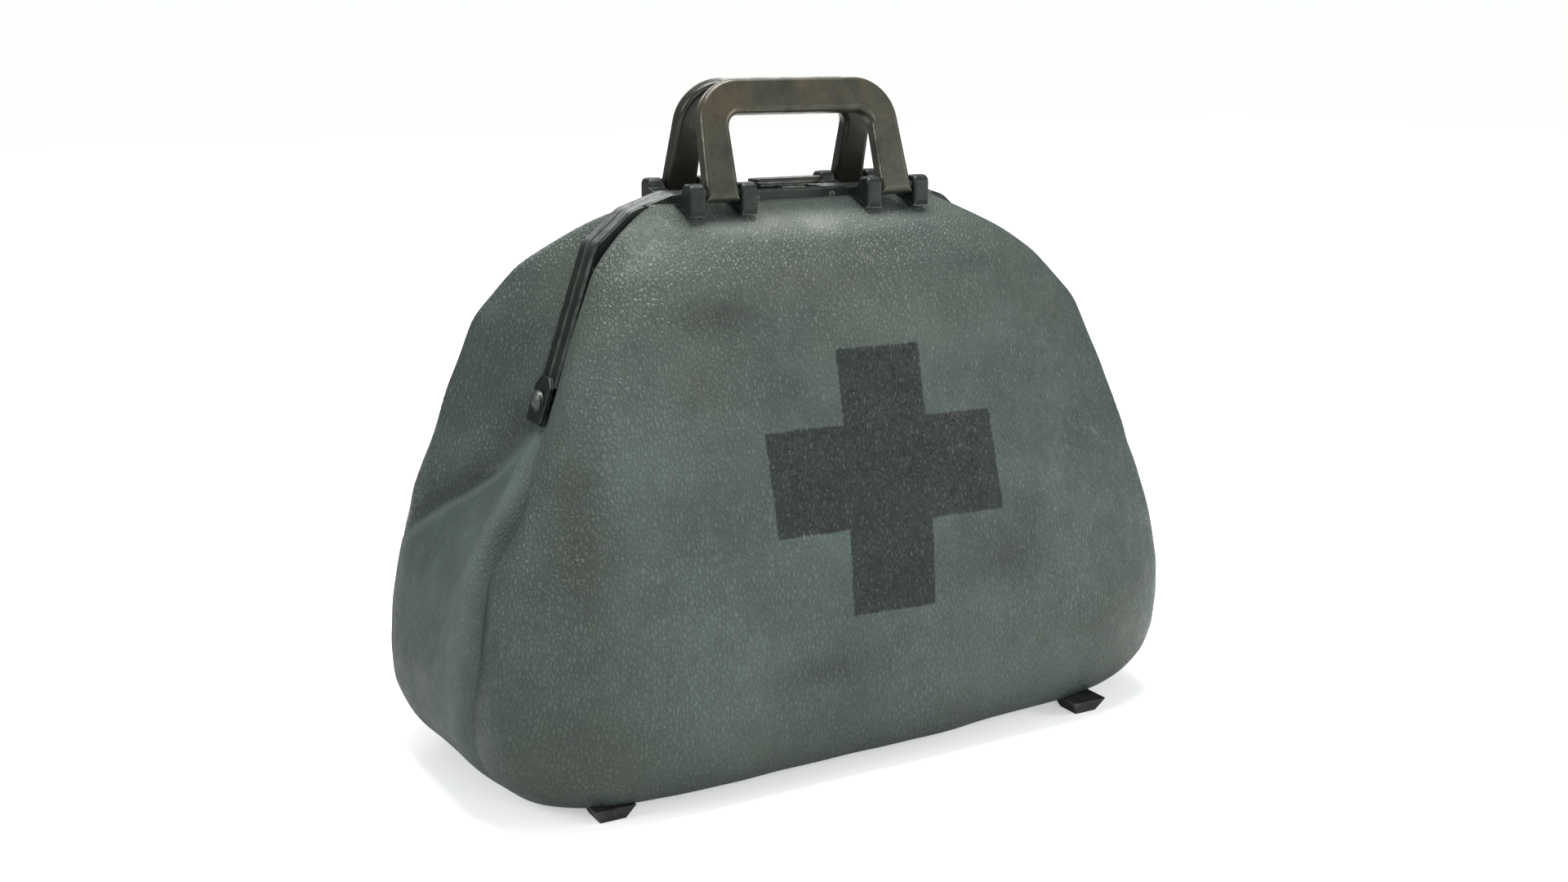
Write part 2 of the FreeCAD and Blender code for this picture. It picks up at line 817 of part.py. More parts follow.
def build_hinge():
    """Left hinge: tilted plate, pin with a domed head, and washers."""
    body = new_body("hinge_plate_body")
    sketch = new_sketch(body, "YZ_Plane", "hinge_plate_outline")
    half, low, high = "plate_wide / 2", "-plate_tall / 2", "plate_tall / 2"
    corners = [(f"-{half} + plate_toe", low), (f"{half} - plate_toe", low),
               (half, low + " + plate_toe"), (half, high + " - plate_corner"),
               (f"{half} - plate_corner", high), (f"-{half} + plate_corner", high),
               (f"-{half}", high + " - plate_corner"), (f"-{half}", low + " + plate_toe")]
    polygon(sketch, corners)
    pad(body, sketch, "plate_thick", "hinge_plate_pad", back=True)
    round_edges(body, "plate_rim", lambda e: e.BoundBox.XMax < PICK - size("plate_thick"),
                "hinge_plate_rim")
    body.Placement.Rotation = FreeCAD.Rotation(ACROSS_Y, arm_tilt())
    bind(body, "Placement.Base.x", "-hinge_x - plate_gap")
    bind(body, "Placement.Base.z", "hinge_z")
    doc.recompute()

    shaft = along_x("pin_shaft", "pin_round", "-pin_out", "-pin_in", "0", "hinge_z")
    button = along_x("pin_button", "pin_button", "-pin_in - pin_button_tall", "-pin_in",
                     "0", "hinge_z")
    ball = doc.addObject("Part::Sphere", "pin_ball")
    bind(ball, "Radius", "(pin_head ^ 2 + pin_head_tall ^ 2) / (2 * pin_head_tall)")
    bind(ball, "Placement.Base.x",
         "-hinge_x - plate_gap - plate_thick - dome_lift - pin_head_tall"
         " + (pin_head ^ 2 + pin_head_tall ^ 2) / (2 * pin_head_tall)")
    bind(ball, "Placement.Base.z", "hinge_z")
    doc.recompute()
    sleeve = along_x("pin_dome_core", "pin_head", "-pin_out - pin_head",
                     "-hinge_x - plate_gap - dome_root", "0", "hinge_z")
    dome = doc.addObject("Part::Common", "pin_dome")
    dome.Base = ball
    dome.Tool = sleeve
    doc.recompute()
    pin = joined("hinge_pin_whole", [shaft, button, dome])
    plate = cut("hinge_plate_cut", body, pin)
    keep(plate, "hinge_plate_left")
    mirror_piece(plate, ACROSS_X, "hinge_plate_right")
    keep(pin, "hinge_pin_left")
    mirror_piece(pin, ACROSS_X, "hinge_pin_right")

    gaps = [("eye_rear_x + eye_thick", "eye_front_x", "washer_round"),
            ("eye_front_x + eye_thick", "collar_out", "pin_round + collar_wide")]
    rings = []
    for index, (low, high, radius) in enumerate(gaps):
        low, high = f"{low} + washer_play", f"{high} - washer_play"
        for side in (-1, 1):
            start, stop = (low, high) if side > 0 else (f"-({high})", f"-({low})")
            label = f"washer_{index}_{'left' if side < 0 else 'right'}"
            rings.append(along_x(label, radius, start, stop, "0", "hinge_z"))
    blank = group("washer_blanks", rings)
    bore = along_x("washer_bore", "pin_round", "-hinge_x", "hinge_x", "0", "hinge_z")
    keep(cut("washer_cut", blank, bore), "hinge_washers")


# ------------------------------------------------------------------ handles


def arch_outline(body, name, leg_in, leg_out, low, top, bar):
    """A handle's front outline; its legs narrow towards the top."""
    shoulder = f"{leg_out} - handle_taper"
    corners = [(f"-({leg_out})", low), (f"-({leg_in})", low),
               (f"-({leg_in})", f"{top} - {bar}"), (leg_in, f"{top} - {bar}"),
               (leg_in, low), (leg_out, low), (shoulder, top),
               (f"-({shoulder})", top)]
    return polygon(new_sketch(body, "XZ_Plane", name), corners)


def upright(edge):
    """True for edges that run straight through the handle's thickness."""
    box = edge.BoundBox
    return box.XLength < 0.01 and box.ZLength < 0.01


def build_handle():
    """Front handle: a stitched leather grip over a flat steel core. Both
    stand upright about the pivot and are then leaned back."""
    core = new_body("handle_core_body")
    inset = "core_inset"
    sketch = arch_outline(core, "core_outline", f"handle_inner + {inset}",
                          f"handle_inner + {inset} + core_wide", "-core_low",
                          "handle_top - core_drop", "core_wide")
    pad(core, sketch, "core_thick", "core_pad", middle=True)
    crown = number("handle_top - core_drop") - PICK
    round_edges(core, "handle_corner - core_drop",
                lambda e: upright(e) and e.BoundBox.ZMin > crown, "core_corners")
    bore = new_sketch(core, "YZ_Plane", "core_bore")
    circle(bore, "0", "0", "handle_pin + pin_play")
    pocket_through(core, bore, "core_pin_hole")

    grip = new_body("handle_grip_body")
    sketch = arch_outline(grip, "grip_outline", "handle_inner", "handle_outer",
                          "-handle_low", "handle_top", "handle_grip")
    pad(grip, sketch, "handle_thick", "grip_pad", middle=True)
    crown = number("handle_top") - PICK
    round_edges(grip, "handle_corner",
                lambda e: upright(e) and e.BoundBox.ZMin > crown, "grip_corners")
    crook = number("handle_top - handle_grip")
    round_edges(grip, "handle_crook",
                lambda e: upright(e) and abs(e.BoundBox.ZMin - crook) < PICK,
                "grip_crooks")
    half = number("handle_thick") / 2 - PICK
    round_edges(grip, "handle_edge",
                lambda e: e.BoundBox.YLength < 0.01 and abs(e.BoundBox.YMin) > half,
                "grip_rim")
    bore = new_sketch(grip, "YZ_Plane", "grip_bore")
    circle(bore, "0", "0", "handle_pin + pin_play")
    pocket_through(grip, bore, "grip_pin_hole")
    for body in (core, grip):
        lean = FreeCAD.Rotation(FreeCAD.Vector(1, 0, 0), -number("handle_lean"))
        body.Placement.Rotation = lean
        bind(body, "Placement.Base.y", "-pivot_y")
        bind(body, "Placement.Base.z", "pivot_z")
    doc.recompute()
    keep(core, "front_handle_core")
    mirror_piece(core, ACROSS_Y, "rear_handle_core")
    hollow = cut("grip_hollow", grip, core)
    keep(hollow, "front_handle_grip")
    mirror_piece(hollow, ACROSS_Y, "rear_handle_grip")


def build_lugs():
    """Lugs either side of each handle leg, and the pins through them."""
    pins = {}
    for side, word in ((-1, "left"), (1, "right")):
        low = "lug_inner_x - lug_wide / 2 + handle_pin_end"
        high = "lug_outer_x + lug_wide / 2 - handle_pin_end"
        start, stop = (low, high) if side > 0 else (f"-({high})", f"-({low})")
        pin = along_x(f"handle_pin_{word}", "handle_pin", start, stop,
                      "-pivot_y", "pivot_z")
        pins[word] = keep(pin, f"front_handle_pin_{word}")
        mirror_piece(pin, ACROSS_Y, f"rear_handle_pin_{word}")
    spots = [("left", "outer"), ("left", "inner"), ("right", "inner"), ("right", "outer")]
    for index, (word, place) in enumerate(spots, start=1):
        sign = "-" if word == "left" else ""
        body = new_body(f"lug_{index}_body")
        middle = f"{sign}lug_{place}_x"
        sketch = new_sketch(body, "YZ_Plane", f"lug_{index}_side",
                            f"{middle} - lug_wide / 2")
        bar = "-bar_depth - lug_touch"
        corners = [("-lug_front + lug_toe", "lug_low"),
                   ("-lug_back", "lug_low + lug_heel"), (bar, "lug_low + lug_root"),
                   (bar, "crown_z - lug_drop"), ("-lug_back", "crown_z + lug_shelf"),
                   ("-lug_back", "lug_high"), ("-lug_front", "lug_high"),
                   ("-lug_front", "lug_low + lug_nose")]
        polygon(sketch, corners)
        pad(body, sketch, "lug_wide", f"lug_{index}_pad")
        roof = number("lug_high") - PICK
        round_edges(body, "lug_crown",
                    lambda e: e.BoundBox.ZMin > roof and e.BoundBox.XLength > PICK,
                    f"lug_{index}_dome")
        shelf = number("crown_z + lug_shelf") - PICK
        back = PICK - number("lug_back")
        face = PICK - number("lug_front")
        round_edges(body, "lug_edge",
                    lambda e: (e.BoundBox.XLength < PICK and e.BoundBox.YMax < back
                               and (e.BoundBox.ZMin > shelf or e.BoundBox.YMax < face)),
                    f"lug_{index}_rounding")
        piece = cut(f"lug_{index}_drilled", body, pins[word])
        keep(piece, f"front_lug_{index}")
        mirror_piece(piece, ACROSS_Y, f"rear_lug_{index}")


# --------------------------------------------------------------------- lock


def stadium(body, name, long, deep, y, level):
    """A bar outline with half round ends, along X."""
    sketch = new_sketch(body, "XY_Plane", name, level)
    half = f"(({long}) - ({deep})) / 2"
    round_ = f"({deep}) / 2"
    reach, radius, middle = number(half), number(round_), number(y)
    spot = FreeCAD.Vector
    sketch.addGeometry(Part.LineSegment(spot(-reach, middle - radius, 0),
                                        spot(reach, middle - radius, 0)))
    right = Part.Circle(spot(reach, middle, 0), spot(0, 0, 1), radius)
    sketch.addGeometry(Part.ArcOfCircle(right, -math.pi / 2, math.pi / 2))
    sketch.addGeometry(Part.LineSegment(spot(reach, middle + radius, 0),
                                        spot(-reach, middle + radius, 0)))
    left = Part.Circle(spot(-reach, middle, 0), spot(0, 0, 1), radius)
    sketch.addGeometry(Part.ArcOfCircle(left, math.pi / 2, 3 * math.pi / 2))
    for first, last in ((0, 1), (1, 2), (2, 3), (3, 0)):
        rule = Sketcher.Constraint("Coincident", first, 2, last, 1)
        sketch.addConstraint(rule)
    pin_point(sketch, 0, 1, f"-{half}", f"({y}) - {round_}")
    pin_point(sketch, 0, 2, half, f"({y}) - {round_}")
    pin_point(sketch, 2, 1, half, f"({y}) + {round_}")
    pin_point(sketch, 2, 2, f"-{half}", f"({y}) + {round_}")
    return sketch


def build_lock():
    """Sliding latch on the rear jaw: a case, a thumb piece with a stem
    that reaches the channel below, its spring, and the front jaw's catch."""
    case = new_body("lock_case_body")
    foot = new_sketch(case, "XY_Plane", "lock_case_foot", "lock_case_low")
    reach = "(lock_case_long - lock_case_deep) / 2"
    near = "seam + bar_bevel"
    far = "lock_case_y + lock_case_deep / 2 - lock_foot_inset"
    polygon(foot, [(f"-({reach})", near), (reach, near), (reach, far), (f"-({reach})", far)])
    pad(case, foot, "lock_foot_tall + lock_overlap", "lock_case_foot_pad")
    plate = stadium(case, "lock_case_outline", "lock_case_long", "lock_case_deep",
                    "lock_case_y", "lock_case_low + lock_foot_tall")
    pad(case, plate, "lock_case_high - lock_case_low - lock_foot_tall", "lock_case_pad")
    slot = new_sketch(case, "XY_Plane", "lock_case_slot", "lock_case_low")
    near, far = "slot_y - slot_deep / 2", "slot_y + slot_deep / 2"
    low = "-button_stem / 2 - slot_play"
    high = "button_stem / 2 + bolt_travel + slot_play"
    polygon(slot, [(low, near), (high, near), (high, far), (low, far)])
    pocket_through(case, slot, "lock_case_slot_cut")
    keep(case, "lock_case")

    button = new_body("lock_button_body")
    cap = stadium(button, "button_outline", "button_long", "button_deep",
                  "button_y", "button_low")
    pad(button, cap, "button_high - button_low", "button_pad")
    top = number("button_high") - PICK
    round_edges(button, "button_rim", lambda e: e.BoundBox.ZMin > top, "button_top_rim")
    stem = new_sketch(button, "XY_Plane", "stem_outline", "stem_low")
    near = "slot_y - slot_deep / 2 + stem_play"
    far = "slot_y + slot_deep / 2 - stem_play"
    low, high = "-button_stem / 2", "button_stem / 2"
    polygon(stem, [(low, near), (high, near), (high, far), (low, far)])
    pad(button, stem, "button_low - stem_low + button_sink", "stem_pad")
    keep(button, "lock_button")

    coil = doc.addObject("Part::Helix", "spring_line")
    bind(coil, "Radius", "spring_round")
    bind(coil, "Pitch", "spring_long / spring_turns")
    bind(coil, "Height", "spring_long")
    section = doc.addObject("Part::Circle", "spring_section")
    bind(section, "Radius", "spring_wire / 2")
    bind(section, "Placement.Base.x", "spring_round")
    section.Placement.Rotation = FreeCAD.Rotation(FreeCAD.Vector(1, 0, 0), 90)
    doc.recompute()
    spring = doc.addObject("Part::Sweep", "spring_coil")
    spring.Sections = [section]
    spring.Spine = (coil, [])
    spring.Solid = True
    spring.Frenet = True
    spring.Placement.Rotation = FreeCAD.Rotation(ACROSS_Y, 90)
    bind(spring, "Placement.Base.x", "-button_stem / 2 - spring_long - slot_play")
    bind(spring, "Placement.Base.y", "slot_y")
    bind(spring, "Placement.Base.z", "stem_low + spring_rise")
    doc.recompute()
    keep(spring, "lock_spring")

    catch = new_body("catch_body")
    tongue = new_sketch(catch, "XY_Plane", "catch_outline", "crown_z")
    half = "catch_long / 2"
    near, far = "-bar_depth + bar_bevel", "-seam - bar_bevel"
    polygon(tongue, [(f"-{half}", near), (half, near), (half, far), (f"-{half}", far)])
    pad(catch, tongue, "catch_thick", "catch_pad")
    keep(catch, "front_catch_plate")


# ------------------------------------------------------------------ document


def build_front_and_rear_jaws():
    front = build_jaw("front", "eye_front_x", False)
    rear = build_jaw("rear", "eye_rear_x", True)
    drills = rivet_drills("frame")
    front_cut = cut("front_jaw_cut", front, drills)
    rear_cut = cut("rear_jaw_cut", rear, drills)
    keep(front_cut, "front_jaw_frame")
    mirror_piece(rear_cut, ACROSS_Y, "rear_jaw_frame")
    strip_body = build_clamp("clamp")
    drilled = cut("clamp_cut", strip_body, drills)
    keep(drilled, "front_clamp_strip")
    mirror_piece(drilled, ACROSS_Y, "rear_clamp_strip")
    rivets = build_rivets("clamp_rivet")
    keep(rivets, "front_clamp_rivets")
    mirror_piece(rivets, ACROSS_Y, "rear_clamp_rivets")


def check_document():
    for thing in doc.Objects:
        if "Invalid" in thing.State or "Error" in thing.State:
            raise RuntimeError(f"{thing.Label} failed: {thing.State}")
    for piece in parts:
        shape = piece.Shape
        if shape.isNull() or not shape.isValid() or not shape.Solids:
            raise RuntimeError(f"{piece.Label} has no valid solid")


fill_sheet()
drill = build_feet()
build_base(drill)
build_leather()
build_front_and_rear_jaws()
build_hinge()
build_handle()
build_lugs()
build_lock()
doc.recompute()
check_document()
os.makedirs("parts", exist_ok=True)
for piece in parts:
    piece.Shape.exportStep(f"parts/{piece.Label}.step")
print(len(parts), "pieces written")
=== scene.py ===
import json
import math

import bmesh
import bpy
import numpy as np
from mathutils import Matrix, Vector, noise


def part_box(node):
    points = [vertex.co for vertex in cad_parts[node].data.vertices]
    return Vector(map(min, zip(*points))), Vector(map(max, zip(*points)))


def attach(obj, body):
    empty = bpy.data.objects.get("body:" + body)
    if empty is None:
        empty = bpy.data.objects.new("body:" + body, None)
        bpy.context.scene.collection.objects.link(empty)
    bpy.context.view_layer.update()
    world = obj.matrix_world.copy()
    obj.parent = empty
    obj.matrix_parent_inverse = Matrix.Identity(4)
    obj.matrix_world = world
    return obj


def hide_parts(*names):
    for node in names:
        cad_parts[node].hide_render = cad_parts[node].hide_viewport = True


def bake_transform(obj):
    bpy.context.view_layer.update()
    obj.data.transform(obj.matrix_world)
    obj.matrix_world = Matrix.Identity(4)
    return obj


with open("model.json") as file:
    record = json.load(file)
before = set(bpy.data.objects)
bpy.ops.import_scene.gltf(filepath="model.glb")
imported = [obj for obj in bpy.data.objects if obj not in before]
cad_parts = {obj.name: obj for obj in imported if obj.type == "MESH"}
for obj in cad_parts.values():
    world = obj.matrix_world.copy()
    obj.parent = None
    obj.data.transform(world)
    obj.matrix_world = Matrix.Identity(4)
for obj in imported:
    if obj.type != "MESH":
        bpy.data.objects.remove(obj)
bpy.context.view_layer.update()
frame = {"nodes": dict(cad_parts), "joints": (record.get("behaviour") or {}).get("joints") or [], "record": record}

# ----------------------------------------------------------------- places
MM = 0.001
HINGE_Z = frame["joints"][0]["pos_m"][2]
FLANGE_Y = -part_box("front_jaw_frame")[0].y

# ----------------------------------------------------- shape of the leather
# height, half length to the left and to the right, and half depth
BODY = np.array([
    (8.0, 190.0, 201.0, 90.0), (11.0, 193.5, 206.5, 92.8), (16.0, 199.5, 212.0, 96.5),
    (25.0, 208.0, 217.0, 101.0), (40.0, 215.0, 219.5, 104.0), (60.0, 216.5, 220.5, 105.0),
    (80.0, 216.0, 219.5, 104.5), (120.0, 211.5, 214.5, 98.0), (160.0, 200.0, 202.0, 88.5),
    (200.0, 187.5, 187.0, 76.5), (235.0, 175.0, 172.5, 64.5), (262.0, 151.0, 147.5, 53.0),
    (276.0, 129.5, 127.0, 43.5), (283.0, 117.5, 113.5, 36.5), (288.0, 108.0, 104.0, 27.5),
    (292.0, 98.5, 96.5, 18.5), (295.3, 89.0, 89.0, 10.6),
]) * MM
# where the leather meets the jaw frames: height, distance from the middle
MOUTH = np.array([
    (196.7, 142.6), (240.0, 127.4), (262.0, 119.0), (270.0, 114.0),
    (281.0, 103.5), (287.6, 95.6), (292.0, 91.0), (295.3, 88.8),
]) * MM
# the front left corner, which is drawn in more tightly than the others:
# height, half length
TIGHT = np.array([
    (8.0, 193.0), (11.0, 196.5), (16.0, 201.5), (25.0, 208.0), (40.0, 213.5),
    (60.0, 215.5), (80.0, 214.5), (120.0, 207.0), (160.0, 193.0), (200.0, 176.0),
    (235.0, 162.0), (262.0, 141.0), (276.0, 123.5), (283.0, 113.0), (288.0, 104.5),
    (292.0, 96.5), (295.3, 89.0),
]) * MM
# how far the ends are drawn in towards the hinges: height, share
PINCH = np.array([
    (8.0, 0.0), (60.0, 0.03), (109.0, 0.14), (135.0, 0.31), (161.0, 0.57),
    (186.0, 0.91), (196.7, 1.0), (295.3, 1.0),
])
PINCH[:, 0] *= MM
# the two folds that run down from each hinge: height, distance off middle
FRONT_FOLD = np.array([
    (8.0, 50.0), (20.0, 52.0), (40.0, 57.0), (60.0, 60.0), (83.0, 61.0),
    (95.0, 57.0), (105.0, 53.0), (115.0, 47.0), (125.0, 42.0), (135.0, 40.5),
    (145.0, 41.0), (155.0, 38.5), (165.0, 31.0), (175.0, 19.0), (186.0, 11.0),
    (196.7, 9.75), (295.3, 9.75),
]) * MM
REAR_FOLD = np.array([
    (8.0, 72.0), (30.0, 74.0), (60.0, 78.0), (83.0, 79.0), (100.0, 77.0),
    (112.0, 68.0), (129.0, 51.0), (143.0, 33.5), (153.0, 19.5),
    (168.0, 11.0), (184.0, 10.0), (196.7, 9.75), (295.3, 9.75),
]) * MM
# how deep the front folds are: height, depth
FOLD_DEPTH = np.array([
    (8.0, 0.3), (30.0, 1.6), (60.0, 3.6), (90.0, 6.6), (120.0, 10.0),
    (150.0, 11.0), (172.0, 7.5), (186.0, 2.4), (196.7, 0.0), (295.3, 0.0),
]) * MM
# how square the corners are: height, power of the outline's curve
SQUARENESS = np.array([(8.0, 4.6), (200.0, 4.5), (262.0, 4.5), (295.3, 4.0)])
SQUARENESS[:, 0] *= MM
# how far a fold's groove spreads into the front or rear leather, and into the
# end leather; -1 is the front fold and 1 the rear one, here and below
FOLD_REACH = {-1: 15.0 * MM, 1: 17.0 * MM}
END_REACH = {-1: 7.0 * MM, 1: 13.0 * MM}
# beside each fold the leather stands out: how far off, how quickly it rises
# and falls away again, and how much of the fold's depth it comes to, for the
# front or rear leather and for the end leather
WING_BULGE = {-1: (17.0 * MM, 6.5 * MM, 9.0 * MM, 0.20),
              1: (24.0 * MM, 12.0 * MM, 16.0 * MM, 0.25)}
END_BULGE = {-1: (7.0 * MM, 4.5 * MM, 15.0 * MM, 0.46),
             1: (22.0 * MM, 10.0 * MM, 18.0 * MM, 0.14)}
# the rear folds have this share of the front ones' depth above REAR_FULL, and
# REAR_START of that share below REAR_LOW
REAR_SHARE = 0.62
REAR_START = 0.25
REAR_LOW, REAR_FULL = 112 * MM, 150 * MM
# the front left corner: over what distance off the middle and what heights it
# comes in, how much rounder it is, and how its pinch runs out
TIGHT_OFF = 34 * MM
TIGHT_LOW, TIGHT_FULL = 85 * MM, 165 * MM
TIGHT_ROUNDER = 1.1
TIGHT_EDGE, TIGHT_POWER = 0.86, 1.1
# where the pinch of the other corners runs out, as a share of the half depth
PINCH_EDGE = 0.8
# the power of the outline that the pinch is measured from at the hinges
HINGE_POWER = 4.5
# how far the foot of the bag is turned, and where the turn has run out
BASE_TWIST = math.radians(2.2)
TWIST_TOP = 75 * MM
# how far the side and end leathers run on behind each other past a fold, how
# steeply they lead inwards there, and over what height below the hinge the
# side leather's tongue runs out
TUCK = 15.0 * MM
END_TUCK = 0.4 * TUCK
TUCK_SLOPE = 0.35
TUCK_FADE = 22 * MM
# thicknesses, and the gap between them
LEATHER = 2.2 * MM
LINING = 0.7 * MM
LINING_GAP = 0.5 * MM
# slow dents, and the fine creases near the hinges: how deep, how wide, and a
# number that sets one pattern apart from the next
DENTS = ((1.3 * MM, 0.075, 0), (0.5 * MM, 0.028, 5))
CREASES = (1.0 * MM, 0.011, 9)
# a crease is longer than it is wide: its height counts for this much
CREASE_STRETCH = (1, 1, 0.35)
# the points marked in and beside a fold, for the painted shade in it and the painted highlight on its ridge: how
# far off its line, and how wide
MARKS = (("crease", 5.0 * MM, 9.0 * MM), ("ridge", -9.0 * MM, 4.0 * MM))
# points up and along the front and rear leather, and the end leather
ROWS, COLUMNS = 96, 190
END_ROWS, END_COLUMNS = 80, 64
# points along half a level, around the corner and over the face
CORNER_POINTS, FACE_POINTS = 60, 80


def smooth_table(table, column=1, width=5.0 * MM):
    """A table read as a smooth line rather than straight runs."""
    step = 0.5 * MM
    heights = np.arange(table[0, 0], table[-1, 0] + step, step)
    values = np.interp(heights, table[:, 0], table[:, column])
    reach = int(3 * width / step)
    kernel = np.exp(-0.5 * (np.arange(-reach, reach + 1) * step / width) ** 2)
    first, last = values[0], values[-1]
    low = 2 * first - values[reach:0:-1]
    high = 2 * last - values[-2:-reach - 2:-1]
    padded = np.concatenate([low, values, high])
    even = np.convolve(padded, kernel / kernel.sum(), mode="valid")
    return lambda z: np.interp(z, heights, even)


half_lengths = {-1: smooth_table(BODY, 1, 3.0 * MM), 1: smooth_table(BODY, 2, 3.0 * MM)}
tight_length_at = smooth_table(TIGHT, 1, 3.0 * MM)
half_depth_at = smooth_table(BODY, 3, 2.5 * MM)
mouth_at = smooth_table(MOUTH, 1, 1.5 * MM)
pinch_at = smooth_table(PINCH, 1, 4.0 * MM)
front_fold_at = smooth_table(FRONT_FOLD, 1, 4.0 * MM)
rear_fold_at = smooth_table(REAR_FOLD, 1, 6.0 * MM)
fold_depth_at = smooth_table(FOLD_DEPTH)
squareness_at = smooth_table(SQUARENESS)


def fade(value, low, high):
    """0 up to low, 1 from high on, and smooth in between."""
    share = np.clip((value - low) / (high - low), 0.0, 1.0)
    return share * share * (3 - 2 * share)


def tightness(end, y, z):
    """1 on the drawn-in front left corner, 0 on the other three."""
    if end > 0:
        return np.zeros_like(y)
    return fade(-y, 0.0, TIGHT_OFF) * fade(z, TIGHT_LOW, TIGHT_FULL)


def outline(end, z, tight):
    """Half length of a level, and the power of its rounded rectangle."""
    loose = half_lengths[end](z)
    return loose + (tight_length_at(z) - loose) * tight, squareness_at(z) - TIGHT_ROUNDER * tight


def rounded(share, power):
    """A rounded rectangle's height at a share of its half width."""
    return (1 - share ** power) ** (1 / power)


def end_reach(end, y, z):
    """How far one end of the bag stands from the middle, off the folds.
    The end is -1 on the left and 1 on the right."""
    y = np.asarray(y, float)
    depth = half_depth_at(z)
    tight = tightness(end, y, z)
    length, power = outline(end, z, tight)
    share = np.clip(np.abs(y) / depth, 0.0, 1.0)
    full = length * rounded(share, power)
    curved = np.clip(1 - (share / PINCH_EDGE) ** 2, 0.0, 1.0) ** 2
    straight = np.clip(1 - share / TIGHT_EDGE, 0.0, 1.0) ** TIGHT_POWER
    near = curved + (straight - curved) * tight
    edge = FLANGE_Y / depth
    drawn = half_lengths[end](z) * rounded(edge, HINGE_POWER) - mouth_at(z)
    hold = (1 - (edge / PINCH_EDGE) ** 2) ** 2
    return full - pinch_at(z) * drawn * near / hold


def fold_at(side, z):
    """How deep a fold is; side is -1 for the front."""
    if side < 0:
        return fold_depth_at(z)
    full = fade(z, REAR_LOW, REAR_FULL)
    return fold_depth_at(z) * REAR_SHARE * (REAR_START + (1 - REAR_START) * full)


def fold_line(side, z):
    """Distance off the middle of a fold; side is -1 for the front."""
    return front_fold_at(z) if side < 0 else rear_fold_at(z)


def twisted(grid):
    """The bag's foot stands turned a little against its mouth."""
    turn = BASE_TWIST * (1 - fade(grid[..., 2], BODY[0, 0], TWIST_TOP))
    x, y = grid[..., 0], grid[..., 1]
    across = x * np.cos(turn) - y * np.sin(turn)
    along = y * np.cos(turn) + x * np.sin(turn)
    return np.stack([across, along, grid[..., 2]], -1)


def resample(points, count):
    """The same line with its points evenly spaced."""
    steps = np.linalg.norm(np.diff(points, axis=0), axis=1)
    along = np.concatenate([[0.0], np.cumsum(steps)])
    marks = np.linspace(0.0, along[-1], count)
    return np.stack([np.interp(marks, along, points[:, k]) for k in (0, 1)], 1)


def bulge(past, deep, shape):
    """The soft ridge that runs beside a fold."""
    off, rise, fall, share = shape
    wide = np.where(past < off, rise, fall)
    return share * deep * np.exp(-((past - off) / wide) ** 2)


def half_row(side, end, z):
    """Half a level of the front or rear leather, from the fold at one end
    to the middle, as distances from the middle."""
    depth = half_depth_at(z)
    tight = float(tightness(end, np.array(side * depth), z))
    length, power = outline(end, z, tight)
    fold = fold_line(side, z)
    tuck = TUCK * fade(-z, -HINGE_Z, -HINGE_Z + TUCK_FADE)
    turn = 0.5 ** (1 / power)
    corner = turn * depth
    if corner < fold + 1.0 * MM:
        return np.array([(mouth_at(z), fold), (0.0, fold)])
    off = np.linspace(fold - tuck, corner, CORNER_POINTS)
    past = off - fold
    deep = fold_at(side, z)
    dip = deep * np.exp(-np.maximum(past, 0.0) / FOLD_REACH[side])
    dip = dip + TUCK_SLOPE * np.maximum(-past, 0.0)
    reach = end_reach(end, off * side, z) - dip + bulge(past, deep, WING_BULGE[side])
    wing = np.stack([reach, off], 1)
    shares = np.linspace(turn, 0.0, FACE_POINTS)[1:]
    face = np.stack([length * shares, depth * rounded(shares, power)], 1)
    return np.concatenate([wing, face])


def side_row(side, z):
    """One level of the front or rear leather, from fold to fold."""
    left = half_row(side, -1, z) * (-1, 1)
    right = half_row(side, 1, z)[::-1][1:]
    whole = resample(np.concatenate([left, right]), COLUMNS)
    return np.column_stack([whole[:, 0], whole[:, 1] * side, np.full(COLUMNS, z)])


def end_row(side, z):
    """One level of an end gusset, between the two folds."""
    front, rear = front_fold_at(z), rear_fold_at(z)
    off = np.linspace(-front - END_TUCK, rear + END_TUCK, END_COLUMNS)
    middle = (rear - front) / 2
    span = (rear + front) / 2
    inside = span - np.abs(off - middle)
    reach = end_reach(side, off, z) - TUCK_SLOPE * np.maximum(-inside, 0.0)
    for part, fold in ((off < middle, -1), (off >= middle, 1)):
        deep = fold_at(fold, z)
        dip = deep * np.exp(-np.maximum(inside, 0.0) / END_REACH[fold])
        reach = reach + part * (bulge(inside, deep, END_BULGE[fold]) - dip)
    return np.column_stack([reach * side, off, np.full(END_COLUMNS, z)])


def levels(low, high, count):
    """Heights, closer together towards the bottom edge and the top."""
    even = np.linspace(0.0, 1.0, count)
    eased = even - 0.09 * np.sin(2 * math.pi * even)
    return low + (high - low) * eased


def ripple(points, amount, size, seed):
    """Slow dents of handled leather, pushed along each point's normal."""
    shift = Vector((seed, seed * 0.37, -seed))
    return np.array([amount * noise.noise(Vector(p) / size + shift)
                     for p in points.reshape(-1, 3)]).reshape(points.shape[:2])


def grid_normals(grid):
    """The direction square to the grid at each of its points."""
    across = np.gradient(grid, axis=1)
    up = np.gradient(grid, axis=0)
    normal = np.cross(across, up)
    length = np.linalg.norm(normal, axis=2, keepdims=True)
    return normal / np.maximum(length, 1e-9)


def outward(grid):
    """Grid normals that point away from the bag's middle."""
    normal = grid_normals(grid)
    middle = grid.reshape(-1, 3).mean(0)
    if np.sum((grid - (0, 0, middle[2])) * normal) < 0:
        normal = -normal
    return normal


